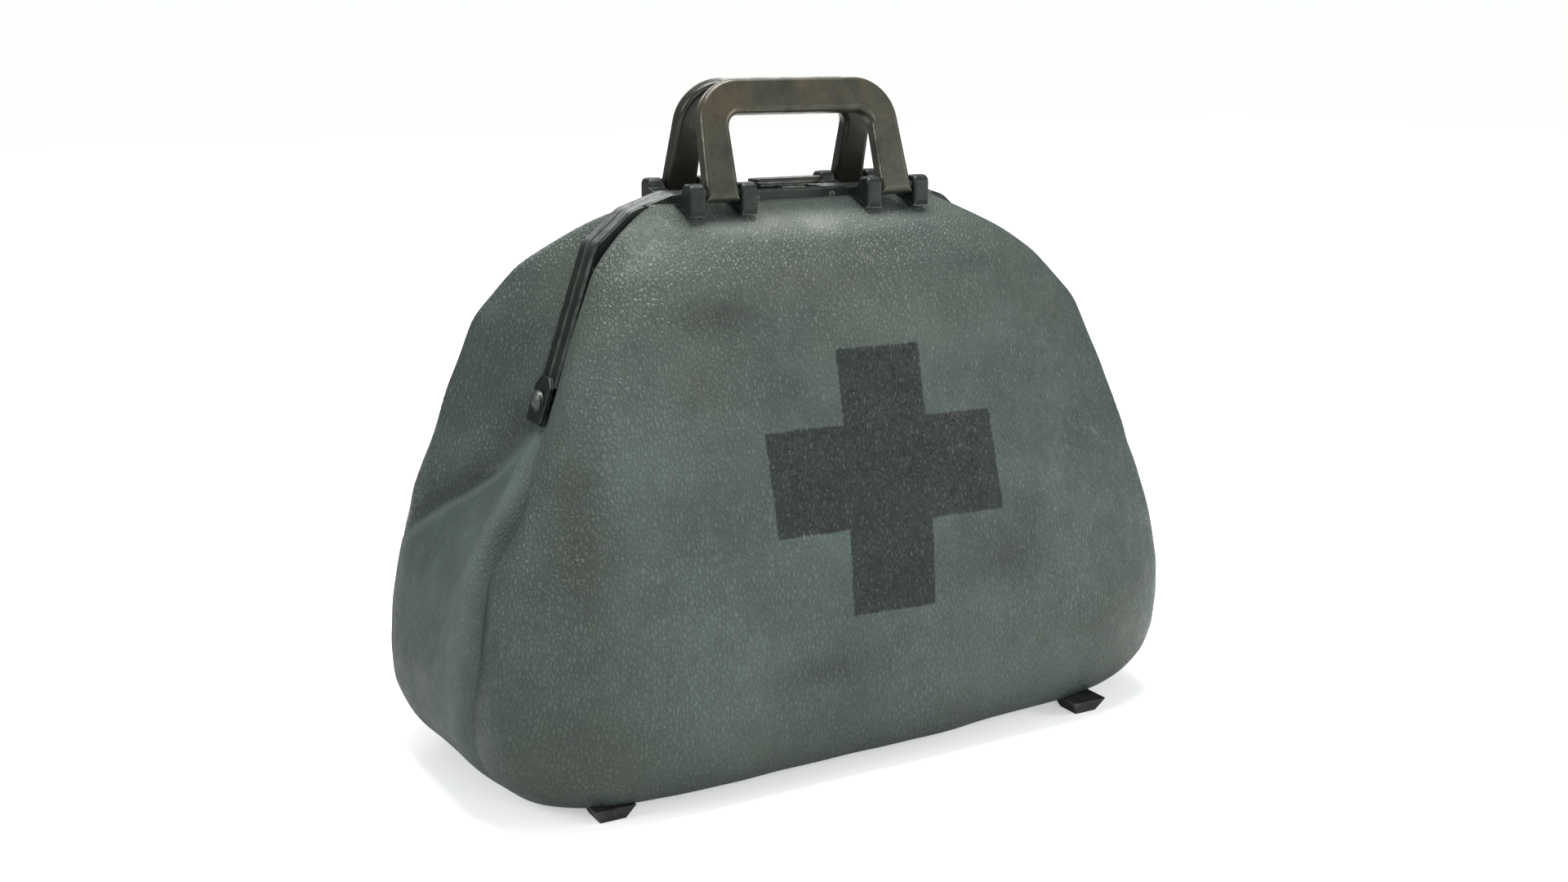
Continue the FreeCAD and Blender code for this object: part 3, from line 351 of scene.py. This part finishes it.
# --------------------------------------------------------------- mesh making


def add_object(name, mesh, *materials):
    for material in materials:
        mesh.materials.append(material)
    piece = bpy.data.objects.new(name, mesh)
    bpy.context.scene.collection.objects.link(piece)
    return piece


def note_folds(mesh):
    """Marks the points in a fold, and those on the ridge beside it, where painted shade and a painted highlight
    go.
    """
    where = np.zeros(len(mesh.vertices) * 3)
    mesh.vertices.foreach_get("co", where)
    x, y, z = where.reshape(-1, 3).T
    off = np.where(y < 0, -y - front_fold_at(z), y - rear_fold_at(z))
    here = fade(np.abs(x), 0.11, 0.15) * fade(z, 0.02, 0.10) * (1 - fade(z, 0.182, 0.197))
    for name, middle, wide in MARKS:
        kept = mesh.attributes.new(name, "FLOAT", "POINT")
        share = here * np.exp(-((off - middle) / wide) ** 2)
        kept.data.foreach_set("value", share.astype(np.float32))


def note_rest_places(mesh):
    """Keeps each point's place at rest, so that a pattern made from it
    stays on the leather when the leather bends."""
    where = np.zeros(len(mesh.vertices) * 3, np.float32)
    mesh.vertices.foreach_get("co", where)
    kept = mesh.attributes.new("rest_place", "FLOAT_VECTOR", "POINT")
    kept.data.foreach_set("vector", where)


def shell(name, outer, inner, *materials):
    """A closed sheet between two grids; the second material is its back."""
    rows, columns = outer.shape[:2]
    points = np.concatenate([outer.reshape(-1, 3), inner.reshape(-1, 3)])
    half = rows * columns
    place = np.arange(half).reshape(rows, columns)
    a, b = place[:-1, :-1].ravel(), place[:-1, 1:].ravel()
    c, d = place[1:, 1:].ravel(), place[1:, :-1].ravel()
    front = np.stack([a, b, c, d], 1)
    back = front[:, ::-1] + half
    rim = np.concatenate([place[0, :], place[1:, -1], place[-1, -2::-1],
                          place[-2:0:-1, 0]])
    after = np.roll(rim, -1)
    edge = np.stack([after, rim, rim + half, after + half], 1)
    faces = np.concatenate([front, back, edge])
    mesh = bpy.data.meshes.new(name)
    mesh.from_pydata(points.tolist(), [], faces.tolist())
    if len(materials) > 1:
        kinds = np.zeros(len(faces), np.int32)
        kinds[len(front):len(front) + len(back)] = 1
        mesh.polygons.foreach_set("material_index", kinds)
    mesh.polygons.foreach_set("use_smooth", [True] * len(faces))
    mesh.update()
    fix_outside(mesh)
    note_rest_places(mesh)
    note_folds(mesh)
    return add_object(name, mesh, *materials)


def fix_outside(mesh):
    """Turns every face outwards."""
    work = bmesh.new()
    work.from_mesh(mesh)
    bmesh.ops.recalc_face_normals(work, faces=work.faces)
    work.to_mesh(mesh)
    work.free()


def leather_face(grid, seed, folds):
    """Adds the slow dents and the fine creases of handled leather."""
    normal = outward(grid)
    dents = sum(ripple(grid, deep, wide, seed + apart) for deep, wide, apart in DENTS)
    deep, wide, apart = CREASES
    creases = folds * ripple(grid * CREASE_STRETCH, deep, wide, seed + apart)
    return grid + normal * (dents + creases)[..., None]


def inset(grid, depth):
    """The same grid, this much further into the bag."""
    return grid - outward(grid) * depth


# ---------------------------------------------------------------- leather


def fold_nearness(grid):
    """1 where the leather is drawn in under the hinges, 0 elsewhere."""
    high = fade(grid[..., 2], 0.06, 0.15) * (1 - fade(grid[..., 2], 0.17, 0.195))
    wide = fade(np.abs(grid[..., 0]), 0.13, 0.18)
    return high * wide


def side_grid(side, low, high):
    return twisted(np.stack([side_row(side, z) for z in levels(low, high, ROWS)]))


def end_grid(side, low, high):
    return twisted(np.stack([end_row(side, z) for z in levels(low, high, END_ROWS)]))


def settle(grid):
    """Fades the moulding out along the top edge, where the frame grips it."""
    return 1 - fade(grid[..., 2], 0.270, 0.293)


def make_sides(leather, lining):
    """The front and rear leather, from fold to fold, and the cloth behind."""
    for word, side, seed in (("front", -1, 2.0), ("rear", 1, 31.0)):
        base = side_grid(side, BODY[0, 0], BODY[-1, 0])
        moulded = leather_face(base, seed, fold_nearness(base))
        hold = settle(base)[..., None]
        outer = base + (moulded - base) * hold
        skin = shell(f"{word}_skin", outer, inset(outer, LEATHER), leather, leather)
        cloth = inset(outer[3:-1], LEATHER + LINING_GAP)
        sheet = shell(f"{word}_lining", cloth, inset(cloth, LINING), lining)
        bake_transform(skin)
        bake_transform(sheet)
        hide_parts(f"{word}_panel", f"{word}_shoulder")


def make_ends(leather, lining):
    """The leather at both ends, below the hinges, and the cloth behind."""
    for word, side, seed in (("left", -1, 57.0), ("right", 1, 83.0)):
        base = end_grid(side, BODY[0, 0], HINGE_Z - 1 * MM)
        outer = leather_face(base, seed, fold_nearness(base))
        skin = shell(f"{word}_end_skin", outer, inset(outer, LEATHER), leather, leather)
        cloth = inset(outer[3:-2, 5:-5], LEATHER + LINING_GAP)
        sheet = shell(f"{word}_end_lining", cloth, inset(cloth, LINING), lining)
        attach(skin, "bag_base")
        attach(sheet, "bag_base")
        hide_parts(f"{word}_gusset")


def disc(name, length, depth, height, thick, sag, *materials):
    """A closed, slightly sagging sheet with the bag's outline: its half length
    and half depth, its height off the floor, its thickness and its sag."""
    rings, around = 26, 160
    power = SQUARENESS[0, 1]
    angles = np.linspace(0, 2 * math.pi, around, endpoint=False)
    across = np.sign(np.cos(angles)) * np.abs(np.cos(angles)) ** (2 / power)
    along = np.sign(np.sin(angles)) * np.abs(np.sin(angles)) ** (2 / power)
    grid = []
    for share in np.linspace(0.02, 1.0, rings):
        ring = np.stack([length * share * across, depth * share * along,
                         np.full(around, height - sag * (1 - share ** 4))], 1)
        grid.append(np.vstack([ring, ring[:1]]))
    low = twisted(np.stack(grid))
    high = low + (0, 0, thick)
    piece = shell(name, low, high, *materials)
    work = bmesh.new()
    work.from_mesh(piece.data)
    bmesh.ops.remove_doubles(work, verts=work.verts, dist=1e-6)
    holes = [e for e in work.edges if e.is_boundary]
    bmesh.ops.holes_fill(work, edges=holes, sides=0)
    bmesh.ops.recalc_face_normals(work, faces=work.faces)
    work.to_mesh(piece.data)
    work.free()
    return piece


def make_base(leather, lining):
    """The leather under the bag and the cloth on its floor."""
    length, depth = BODY[0, 1], BODY[0, 3]
    skin = disc("base_skin", length - 0.5 * MM, depth - 0.5 * MM, 8.4 * MM,
                2.0 * MM, 0.4 * MM, leather)
    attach(skin, "bag_base")
    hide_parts("base_panel")
    floor = disc("lining_floor", length + 3 * MM, depth + 2 * MM, 15.6 * MM,
                 1.0 * MM, 0.3 * MM, lining)
    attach(floor, "bag_base")
    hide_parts("lining")


# --------------------------------------------------------------- materials


class Nodes:
    """A short way to write a material's nodes."""

    def __init__(self, name):
        self.material = bpy.data.materials.new(name)
        self.material.use_nodes = True
        self.tree = self.material.node_tree
        self.shader = self.tree.nodes["Principled BSDF"]

    def add(self, kind, **settings):
        node = self.tree.nodes.new(kind)
        for word, value in settings.items():
            setattr(node, word, value)
        return node

    def link(self, source, target):
        self.tree.links.new(source, target)

    def feed(self, socket, value):
        """Links a socket to another one's output, or sets its value."""
        if isinstance(value, bpy.types.NodeSocket):
            self.link(value, socket)
        else:
            socket.default_value = value

    def put(self, node, **inputs):
        """Sets or links a node's inputs by name, with _ for a space."""
        for word, value in inputs.items():
            self.feed(node.inputs[word.replace("_", " ")], value)

    def place(self, rest=True):
        """The point's place: at rest for leather, on the object for metal."""
        if rest:
            node = self.add("ShaderNodeAttribute", attribute_name="rest_place")
            return node.outputs["Vector"]
        return self.add("ShaderNodeTexCoord").outputs["Object"]

    def stored(self, name):
        """A share kept on the leather's points."""
        return self.add("ShaderNodeAttribute", attribute_name=name).outputs["Fac"]

    def scaled(self, place, scale):
        node = self.add("ShaderNodeMapping")
        self.put(node, Vector=place, Scale=scale)
        return node.outputs["Vector"]

    def noise(self, place, scale, detail=3.0, rough=0.55, warp=0.0):
        node = self.add("ShaderNodeTexNoise")
        self.put(node, Vector=place, Scale=scale, Detail=detail, Roughness=rough,
                 Distortion=warp)
        return node.outputs["Fac"]

    def cells(self, place):
        """How far a point is from the edge of its cell of the grain."""
        node = self.add("ShaderNodeTexVoronoi", feature="DISTANCE_TO_EDGE")
        self.put(node, Vector=place, Scale=1.0)
        return node.outputs["Distance"]

    def span(self, value, low, high, out_low=0.0, out_high=1.0):
        node = self.add("ShaderNodeMapRange", interpolation_type="SMOOTHSTEP")
        self.put(node, Value=value, From_Min=low, From_Max=high, To_Min=out_low,
                 To_Max=out_high)
        return node.outputs["Result"]

    def math(self, kind, a, b=0.0, c=0.0):
        node = self.add("ShaderNodeMath", operation=kind)
        for socket, value in zip(node.inputs, (a, b, c)):
            self.feed(socket, value)
        return node.outputs[0]

    def vector(self, kind, *values):
        node = self.add("ShaderNodeVectorMath", operation=kind)
        for socket, value in zip(node.inputs, values):
            self.feed(socket, value)
        return node.outputs["Value" if kind in ("LENGTH", "DOT_PRODUCT") else "Vector"]

    def mix(self, share, a, b):
        """Colour a where the share is 0 and colour b where it is 1."""
        node = self.add("ShaderNodeMix", data_type="RGBA")
        self.feed(node.inputs[0], share)
        for socket, value in ((node.inputs[6], a), (node.inputs[7], b)):
            self.feed(socket, (*value, 1) if isinstance(value, tuple) else value)
        return node.outputs[2]

    def axes(self, place):
        node = self.add("ShaderNodeSeparateXYZ")
        self.link(place, node.inputs[0])
        return node.outputs[0], node.outputs[1], node.outputs[2]

    def bump(self, height, strength, distance, after=None):
        node = self.add("ShaderNodeBump")
        self.put(node, Height=height, Strength=strength, Distance=distance)
        if after is not None:
            self.link(after, node.inputs["Normal"])
        return node.outputs["Normal"]

    def edges(self, radius):
        """0 on flats, rising towards 1 along a piece's edges."""
        soft = self.add("ShaderNodeBevel", samples=6)
        self.put(soft, Radius=radius)
        plain = self.add("ShaderNodeNewGeometry").outputs["Normal"]
        same = self.vector("DOT_PRODUCT", soft.outputs[0], plain)
        return self.span(same, 0.995, 0.80)

    def spot(self, place, centre, reach, strength):
        """A soft round patch about a point of the bag."""
        away = self.vector("DIVIDE", self.vector("SUBTRACT", place, centre), reach)
        return self.span(self.vector("LENGTH", away), 1.0, 0.0, 0.0, strength)

    def finish(self, color, rough, normal=None, metallic=0.0, specular=0.5):
        self.put(self.shader, Metallic=metallic, Specular_IOR_Level=specular,
                 Base_Color=color, Roughness=rough)
        if normal is not None:
            self.link(normal, self.shader.inputs["Normal"])
        return self.material


# the painted cross: its middle (x, z), how far its upright leans, half its
# height and half its length, half the thickness of its bars, how far the level
# bar sits above the middle, and where the front of the bag begins
CROSS_MIDDLE = (11.4 * MM, 155.6 * MM)
CROSS_LEAN = 0.068
CROSS_HALF = 66.6 * MM
CROSS_REACH = 68.4 * MM
CROSS_ARM = 26.0 * MM
CROSS_UPRIGHT = CROSS_ARM - 1 * MM
CROSS_RAISE = 3.3 * MM
CROSS_SOFT = 0.7 * MM
CROSS_FRONT = -20 * MM


def cross_mask(n, place):
    """1 inside the painted cross, with edges that have worn a little."""
    x, y, z = n.axes(place)
    wobble = n.math("SUBTRACT", n.noise(place, 230.0, 2.0), 0.5)
    slow = n.math("SUBTRACT", n.noise(place, 40.0, 1.0), 0.5)
    shift = n.math("MULTIPLY_ADD", wobble, 0.9 * MM, n.math("MULTIPLY", slow, 2.4 * MM))
    high = n.math("SUBTRACT", z, CROSS_MIDDLE[1])
    lean = n.math("MULTIPLY_ADD", high, -CROSS_LEAN, x)
    across = n.math("ABSOLUTE", n.math("SUBTRACT", lean, CROSS_MIDDLE[0]))
    flat = n.math("ABSOLUTE", n.math("SUBTRACT", x, CROSS_MIDDLE[0]))
    up = n.math("ABSOLUTE", high)
    raised = n.math("ABSOLUTE", n.math("SUBTRACT", high, CROSS_RAISE))

    def inside(value, limit):
        moved = n.math("ADD", value, shift)
        return n.span(moved, limit + CROSS_SOFT, limit - CROSS_SOFT)

    tall = n.math("MULTIPLY", inside(across, CROSS_UPRIGHT), inside(up, CROSS_HALF))
    wide = n.math("MULTIPLY", inside(flat, CROSS_REACH), inside(raised, CROSS_ARM))
    either = n.math("MAXIMUM", tall, wide)
    front = n.math("LESS_THAN", y, CROSS_FRONT)
    return n.math("MULTIPLY", either, front)


# centre, reach, strength and colour of soft patches: marks that use has left, and among them painted shade on the
# front left corner and a painted highlight along the top of the front
SMUDGES_AND_PAINTED_LIGHT = (
    # painted shade, with a brown tint: the front left corner, where it turns away from the light
    ((-0.158, -0.085, 0.165), (0.026, 0.06, 0.130), 0.8, (0.039, 0.040, 0.031)),
    ((-0.165, -0.09, 0.040), (0.07, 0.05, 0.042), 0.65, (0.038, 0.038, 0.028)),
    ((-0.073, -0.07, 0.243), (0.044, 0.06, 0.016), 1.0, (0.022, 0.026, 0.022)),
    ((-0.03, -0.10, 0.063), (0.060, 0.05, 0.015), 0.7, (0.028, 0.033, 0.029)),
    ((0.075, -0.09, 0.105), (0.040, 0.05, 0.015), 0.6, (0.030, 0.034, 0.030)),
    ((0.105, 0.07, 0.215), (0.055, 0.06, 0.024), 0.7, (0.032, 0.036, 0.030)),
    ((-0.085, 0.10, 0.085), (0.065, 0.05, 0.020), 0.6, (0.034, 0.035, 0.028)),
    ((0.150, 0.085, 0.060), (0.060, 0.05, 0.045), 0.5, (0.040, 0.040, 0.030)),
    ((0.150, -0.09, 0.230), (0.040, 0.06, 0.030), 0.6, (0.032, 0.036, 0.030)),
    # painted highlight: a light band along the top of the front, where the shoulder catches the top light
    ((0.0, -0.036, 0.284), (0.090, 0.030, 0.010), 1.0, (0.150, 0.166, 0.152)),
    ((-0.150, 0.03, 0.235), (0.030, 0.06, 0.050), 0.3, (0.062, 0.084, 0.076)),
    ((-0.205, 0.0, 0.060), (0.05, 0.10, 0.065), 0.6, (0.034, 0.042, 0.037)),
)
GRIME = (0.054, 0.055, 0.043)
PALE_LEATHER = (0.084, 0.110, 0.099)
DUST = (0.064, 0.069, 0.054)
# the colour the leather darkens to towards the bottom
LOW_DARKENING = (0.036, 0.041, 0.034)
# painted shade in the folds, and a painted highlight on the ridges beside them
FOLD_SHADE = (0.020, 0.025, 0.022)
RIDGE_HIGHLIGHT = (0.110, 0.132, 0.121)
IN_PIT = (0.010, 0.013, 0.012)
ON_PEBBLE = (0.125, 0.148, 0.138)
# the paint of the cross where it is thick, worn and nearly gone
PAINT = (0.005, 0.009, 0.007)
WORN_PAINT = (0.019, 0.029, 0.023)
THIN_PAINT = (0.046, 0.058, 0.050)
# how far the cells of the grain are pushed out of line
GRAIN_WARP = (2.6 * MM, 2.6 * MM, 2.6 * MM)


def leather_material(name, pebble, grain, tones, gloss, crossed=False):
    """Pebbled leather: the size of a pebble, how strong the grain is, the dark
    and light tone, the roughness of dull and shiny patches, and whether the
    cross is painted on it."""
    n = Nodes(name)
    place = n.place()
    warp = n.noise(place, 160.0, 2.0)
    pushed = n.vector("MULTIPLY_ADD", warp, GRAIN_WARP, place)
    cell = n.cells(n.scaled(pushed, tuple(1 / p for p in pebble)))
    raised = n.span(cell, 0.0, 0.40)
    fine = n.noise(place, 1500.0, 2.0)
    patchy = n.span(n.noise(place, 26.0, 2.0), 0.3, 0.75, 0.65 * grain, grain)

    cloud = n.noise(place, 14.0, 4.0, 0.6)
    mottle = n.noise(place, 90.0, 4.0, 0.65)
    color = n.mix(n.span(cloud, 0.32, 0.70), tones[0], tones[1])
    dirt = n.span(n.noise(place, 9.0, 5.0, 0.62, 0.4), 0.50, 0.76)
    color = n.mix(n.math("MULTIPLY", dirt, 0.5), color, GRIME)
    color = n.mix(n.span(mottle, 0.45, 0.75, 0.0, 0.25), color, PALE_LEATHER)
    height = n.axes(place)[2]
    dusty = n.math("MULTIPLY", n.span(height, 0.15, 0.27, 0.0, 0.45), n.span(cloud, 0.3, 0.6))
    color = n.mix(dusty, color, DUST)
    # darker towards the bottom of the leather
    low = n.span(height, 0.060, 0.010, 0.0, 0.55)
    color = n.mix(n.math("MULTIPLY", low, n.span(mottle, 0.3, 0.7, 0.4)), color, LOW_DARKENING)
    # soft patches: smudges, with painted shade and a painted highlight among them
    for centre, reach, strength, tint in SMUDGES_AND_PAINTED_LIGHT:
        spot = n.spot(place, centre, reach, strength)
        broken = n.math("MULTIPLY", spot, n.span(n.noise(place, 45.0, 3.0), 0.2, 0.7, 0.42))
        color = n.mix(broken, color, tint)
    # painted shade in the folds, painted highlight on the ridges
    color = n.mix(n.math("MULTIPLY", n.stored("crease"), 0.62), color, FOLD_SHADE)
    color = n.mix(n.math("MULTIPLY", n.stored("ridge"), 0.3), color, RIDGE_HIGHLIGHT)
    pits = n.math("MULTIPLY", n.span(cell, 0.0, 0.20, 0.60, 0.0), patchy)
    shine = n.math("MULTIPLY", n.span(cell, 0.20, 0.55, 0.0, 0.26), patchy)
    if crossed:
        mask = cross_mask(n, place)
        worn = n.span(n.noise(place, 55.0, 4.0, 0.65), 0.35, 0.72)
        thin = n.span(n.noise(place, 330.0, 3.0), 0.48, 0.72, 0.0, 0.55)
        paint = n.mix(thin, n.mix(worn, PAINT, WORN_PAINT), THIN_PAINT)
        color = n.mix(n.math("MULTIPLY", mask, 0.94), color, paint)
        pits = n.math("MULTIPLY_ADD", mask, n.span(cell, 0.0, 0.26, 0.75, 0.0), pits)
        shine = n.math("MULTIPLY", shine, n.span(mask, 0.0, 1.0, 1.0, 0.5))
    color = n.mix(pits, color, IN_PIT)
    color = n.mix(shine, color, ON_PEBBLE)

    rough = n.span(mottle, 0.3, 0.7, gloss[0], gloss[1])
    if crossed:
        rough = n.math("MULTIPLY_ADD", mask, -0.07, rough)
    relief = n.math("MULTIPLY", raised, patchy)
    relief = n.math("MULTIPLY_ADD", fine, 0.2, relief)
    normal = n.bump(n.noise(place, 70.0, 3.0), 0.35, 1.0 * MM)
    normal = n.bump(relief, 0.9, 0.7 * MM, normal)
    return n.finish(color, rough, normal, specular=0.20)


THREAD = 0.9 * MM


def lining_material():
    n = Nodes("lining_cloth")
    place = n.place()
    x, y, z = n.axes(place)

    def threads(value):
        return n.math("SINE", n.math("MULTIPLY", value, 2 * math.pi / THREAD))

    weave = n.math("MULTIPLY", threads(n.math("ADD", x, y)), threads(z))
    tone = n.span(n.noise(place, 30.0, 4.0), 0.3, 0.7)
    color = n.mix(tone, (0.115, 0.098, 0.075), (0.20, 0.175, 0.14))
    color = n.mix(n.span(weave, -1, 1, 0.0, 0.35), color, (0.075, 0.064, 0.05))
    rough = n.span(weave, -1, 1, 0.85, 0.95)
    normal = n.bump(weave, 0.5, 0.15 * MM)
    return n.finish(color, rough, normal, specular=0.2)


def metal_material(name, dark, bare, wear, rust, metallic=0.75):
    """Dark patinated metal, worn bare along its edges."""
    n = Nodes(name)
    place = n.place(rest=False)
    patina = n.noise(place, 120.0, 5.0, 0.6)
    slow = n.noise(place, 28.0, 3.0)
    streak = n.noise(n.scaled(place, (260, 260, 60)), 1.0, 3.0)
    color = n.mix(n.span(patina, 0.3, 0.7), dark, tuple(1.7 * c for c in dark))
    tint = n.math("MULTIPLY", n.span(slow, 0.50, 0.72), rust)
    color = n.mix(tint, color, (0.105, 0.078, 0.050))
    edge = n.edges(1.1 * MM)
    broken = n.math("MULTIPLY", edge, n.span(n.noise(place, 190.0, 4.0), 0.32, 0.60))
    worn = n.math("MULTIPLY", broken, wear)
    color = n.mix(worn, color, bare)
    rough = n.span(streak, 0.3, 0.7, 0.54, 0.36)
    rough = n.math("MULTIPLY_ADD", worn, -0.08, rough)
    height = n.math("MULTIPLY_ADD", streak, 0.4, patina)
    normal = n.bump(height, 0.25, 0.25 * MM)
    return n.finish(color, rough, normal, metallic, 0.5)


def handle_material():
    n = Nodes("handle_leather_worn")
    place = n.place(rest=False)
    blotch = n.noise(place, 75.0, 6.0, 0.66)
    slow = n.noise(place, 34.0, 5.0, 0.62, 0.4)
    color = n.mix(n.span(blotch, 0.3, 0.7), (0.014, 0.016, 0.011), (0.054, 0.057, 0.039))
    y, z = n.axes(place)[1:]
    top = n.span(z, 0.330, 0.348, 0.35, 1.0)
    brown = n.math("MULTIPLY", n.span(slow, 0.44, 0.74, 0.0, 0.6), top)
    color = n.mix(brown, color, (0.080, 0.053, 0.030))
    spots = n.span(n.noise(place, 240.0, 3.0), 0.60, 0.72, 0.0, 0.75)
    color = n.mix(spots, color, (0.030, 0.020, 0.012))
    # painted shade: the rear handle, behind the middle, is darkened where the front handle shades it
    color = n.mix(n.span(y, -2 * MM, 4 * MM, 0.0, 0.6), color, (0.008, 0.010, 0.009))
    # rubbed edges, lightened also as a painted highlight along the rims
    edge = n.edges(1.4 * MM)
    rim = n.math("MULTIPLY", edge, n.span(n.noise(place, 150.0, 4.0), 0.28, 0.58, 0.1, 0.85))
    color = n.mix(rim, color, (0.30, 0.32, 0.28))
    rough = n.span(blotch, 0.3, 0.7, 0.44, 0.24)
    height = n.math("MULTIPLY_ADD", n.noise(place, 420.0, 3.0), 0.5, blotch)
    normal = n.bump(height, 0.35, 0.35 * MM)
    return n.finish(color, rough, normal, 0.35, 0.5)


def foot_material():
    n = Nodes("foot_black")
    place = n.place(rest=False)
    tone = n.noise(place, 90.0, 4.0)
    color = n.mix(n.span(tone, 0.35, 0.7), (0.012, 0.014, 0.013), (0.042, 0.046, 0.043))
    scuff = n.math("MULTIPLY", n.edges(1.0 * MM), n.span(tone, 0.35, 0.65))
    color = n.mix(n.math("MULTIPLY", scuff, 0.6), color, (0.12, 0.125, 0.115))
    rough = n.span(tone, 0.3, 0.7, 0.62, 0.45)
    return n.finish(color, rough, n.bump(tone, 0.3, 0.3 * MM), 0.2, 0.4)


def board_material():
    n = Nodes("board_fibre")
    place = n.place(rest=False)
    fibre = n.noise(n.scaled(place, (60, 300, 300)), 1.0, 4.0)
    color = n.mix(fibre, (0.22, 0.17, 0.11), (0.36, 0.29, 0.20))
    rough = n.span(fibre, 0.3, 0.7, 0.9, 0.8)
    return n.finish(color, rough, n.bump(fibre, 0.3, 0.2 * MM), 0.0, 0.2)


def dress_frame():
    """Gives each metal, handle, foot and board part its material."""
    frame_metal = metal_material("frame_gunmetal", (0.009, 0.013, 0.011),
                                 (0.24, 0.285, 0.25), wear=0.85, rust=0.12,
                                 metallic=0.55)
    lock_metal = metal_material("lock_gunmetal", (0.010, 0.013, 0.012),
                                (0.27, 0.29, 0.26), wear=0.9, rust=0.2, metallic=0.6)
    steel = metal_material("fastener_steel", (0.050, 0.054, 0.050),
                           (0.33, 0.33, 0.31), wear=0.8, rust=0.5)
    looks = {"frame_metal": frame_metal, "lock_metal": lock_metal, "fastener": steel,
             "handle_leather": handle_material(), "foot": foot_material(),
             "board": board_material()}
    for part in frame["record"]["subparts"]:
        look = looks.get(part["material_slot"])
        piece = frame["nodes"][part["node"]]
        if look is not None:
            piece.data.materials.clear()
            piece.data.materials.append(look)


# ---------------------------------------------------- floor, light, camera
FLOOR_HALF = 6.0
AMBIENT = 0.26
# name, place, size and watts of each soft lamp, and the point they face
LIGHTS = (
    ("top_light", (0.0, 0.0, 1.3), (0.8, 0.5), 22.0),
    ("left_light", (-1.6, -0.3, 1.0), (0.7, 0.7), 12.0),
    ("front_light", (-0.2, -1.9, 0.7), (1.2, 0.9), 17.0),
    ("right_light", (1.6, -1.3, 0.6), (0.9, 0.9), 21.5),
    ("rear_light", (0.4, 1.6, 1.2), (1.4, 0.8), 14.0),
)
LIGHT_AIM = Vector((0, 0, 0.16))
CAMERA_TURN = math.radians(-29.14)
CAMERA_RISE = math.radians(12.99)
CAMERA_AWAY = 0.983
CAMERA_AIM = Vector((-0.001, 0.0006, 0.159))
CAMERA_LENS = 40.34


def make_floor():
    mesh = bpy.data.meshes.new("floor")
    corners = ((-1, -1), (1, -1), (1, 1), (-1, 1))
    mesh.from_pydata([(FLOOR_HALF * x, FLOOR_HALF * y, 0) for x, y in corners], [],
                     [(0, 1, 2, 3)])
    n = Nodes("floor_pale")
    place = n.place(rest=False)
    tone = n.noise(place, 3.0, 2.0)
    far = n.span(n.vector("LENGTH", place), 0.35, 1.3)
    color = n.mix(tone, (0.84, 0.85, 0.83), (0.87, 0.88, 0.86))
    seen = n.add("ShaderNodeLightPath").outputs["Is Camera Ray"]
    glow = n.mix(far, (0.42, 0.43, 0.42), (1.0, 1.0, 0.99))
    n.put(n.shader, Emission_Color=glow, Emission_Strength=seen)
    look = n.finish(color, n.span(tone, 0, 1, 0.85, 0.9), specular=0.1)
    floor = add_object("floor", mesh, look)


def make_light():
    world = bpy.data.worlds.new("studio")
    bpy.context.scene.world = world
    world.use_nodes = True
    tree = world.node_tree
    background = tree.nodes["Background"]
    background.inputs["Color"].default_value = (0.98, 1.0, 0.975, 1)
    seen = tree.nodes.new("ShaderNodeLightPath")
    strength = tree.nodes.new("ShaderNodeMapRange")
    strength.inputs["To Min"].default_value = AMBIENT
    strength.inputs["To Max"].default_value = 1.0
    tree.links.new(seen.outputs["Is Camera Ray"], strength.inputs["Value"])
    tree.links.new(strength.outputs["Result"], background.inputs["Strength"])
    for name, place, size, power in LIGHTS:
        lamp = bpy.data.lights.new(name, "AREA")
        lamp.shape = "RECTANGLE"
        lamp.size, lamp.size_y = size
        lamp.energy = power
        piece = bpy.data.objects.new(name, lamp)
        piece.location = place
        aim = LIGHT_AIM - Vector(place)
        piece.rotation_euler = aim.to_track_quat("-Z", "Y").to_euler()
        bpy.context.scene.collection.objects.link(piece)


def make_camera():
    back = Vector((math.sin(CAMERA_TURN) * math.cos(CAMERA_RISE),
                   -math.cos(CAMERA_TURN) * math.cos(CAMERA_RISE),
                   math.sin(CAMERA_RISE)))
    data = bpy.data.cameras.new("camera")
    data.sensor_width = 36.0
    data.lens = CAMERA_LENS
    data.clip_start, data.clip_end = 0.01, 50.0
    camera = bpy.data.objects.new("camera", data)
    camera.location = CAMERA_AIM + back * CAMERA_AWAY
    camera.rotation_euler = (-back).to_track_quat("-Z", "Y").to_euler()
    bpy.context.scene.collection.objects.link(camera)
    bpy.context.scene.camera = camera


front_leather = leather_material("leather_front", (2.0 * MM, 2.0 * MM, 4.0 * MM), 0.8,
                                 ((0.042, 0.057, 0.051), (0.067, 0.090, 0.081)),
                                 (0.50, 0.34), True)
end_leather = leather_material("leather_ends", (2.2 * MM, 2.2 * MM, 2.8 * MM), 0.45,
                               ((0.043, 0.060, 0.055), (0.067, 0.094, 0.086)),
                               (0.66, 0.54))
cloth = lining_material()
make_sides(front_leather, cloth)
make_ends(end_leather, cloth)
make_base(end_leather, cloth)
dress_frame()
make_floor()
make_light()
make_camera()
bpy.context.scene.view_settings.view_transform = "Standard"
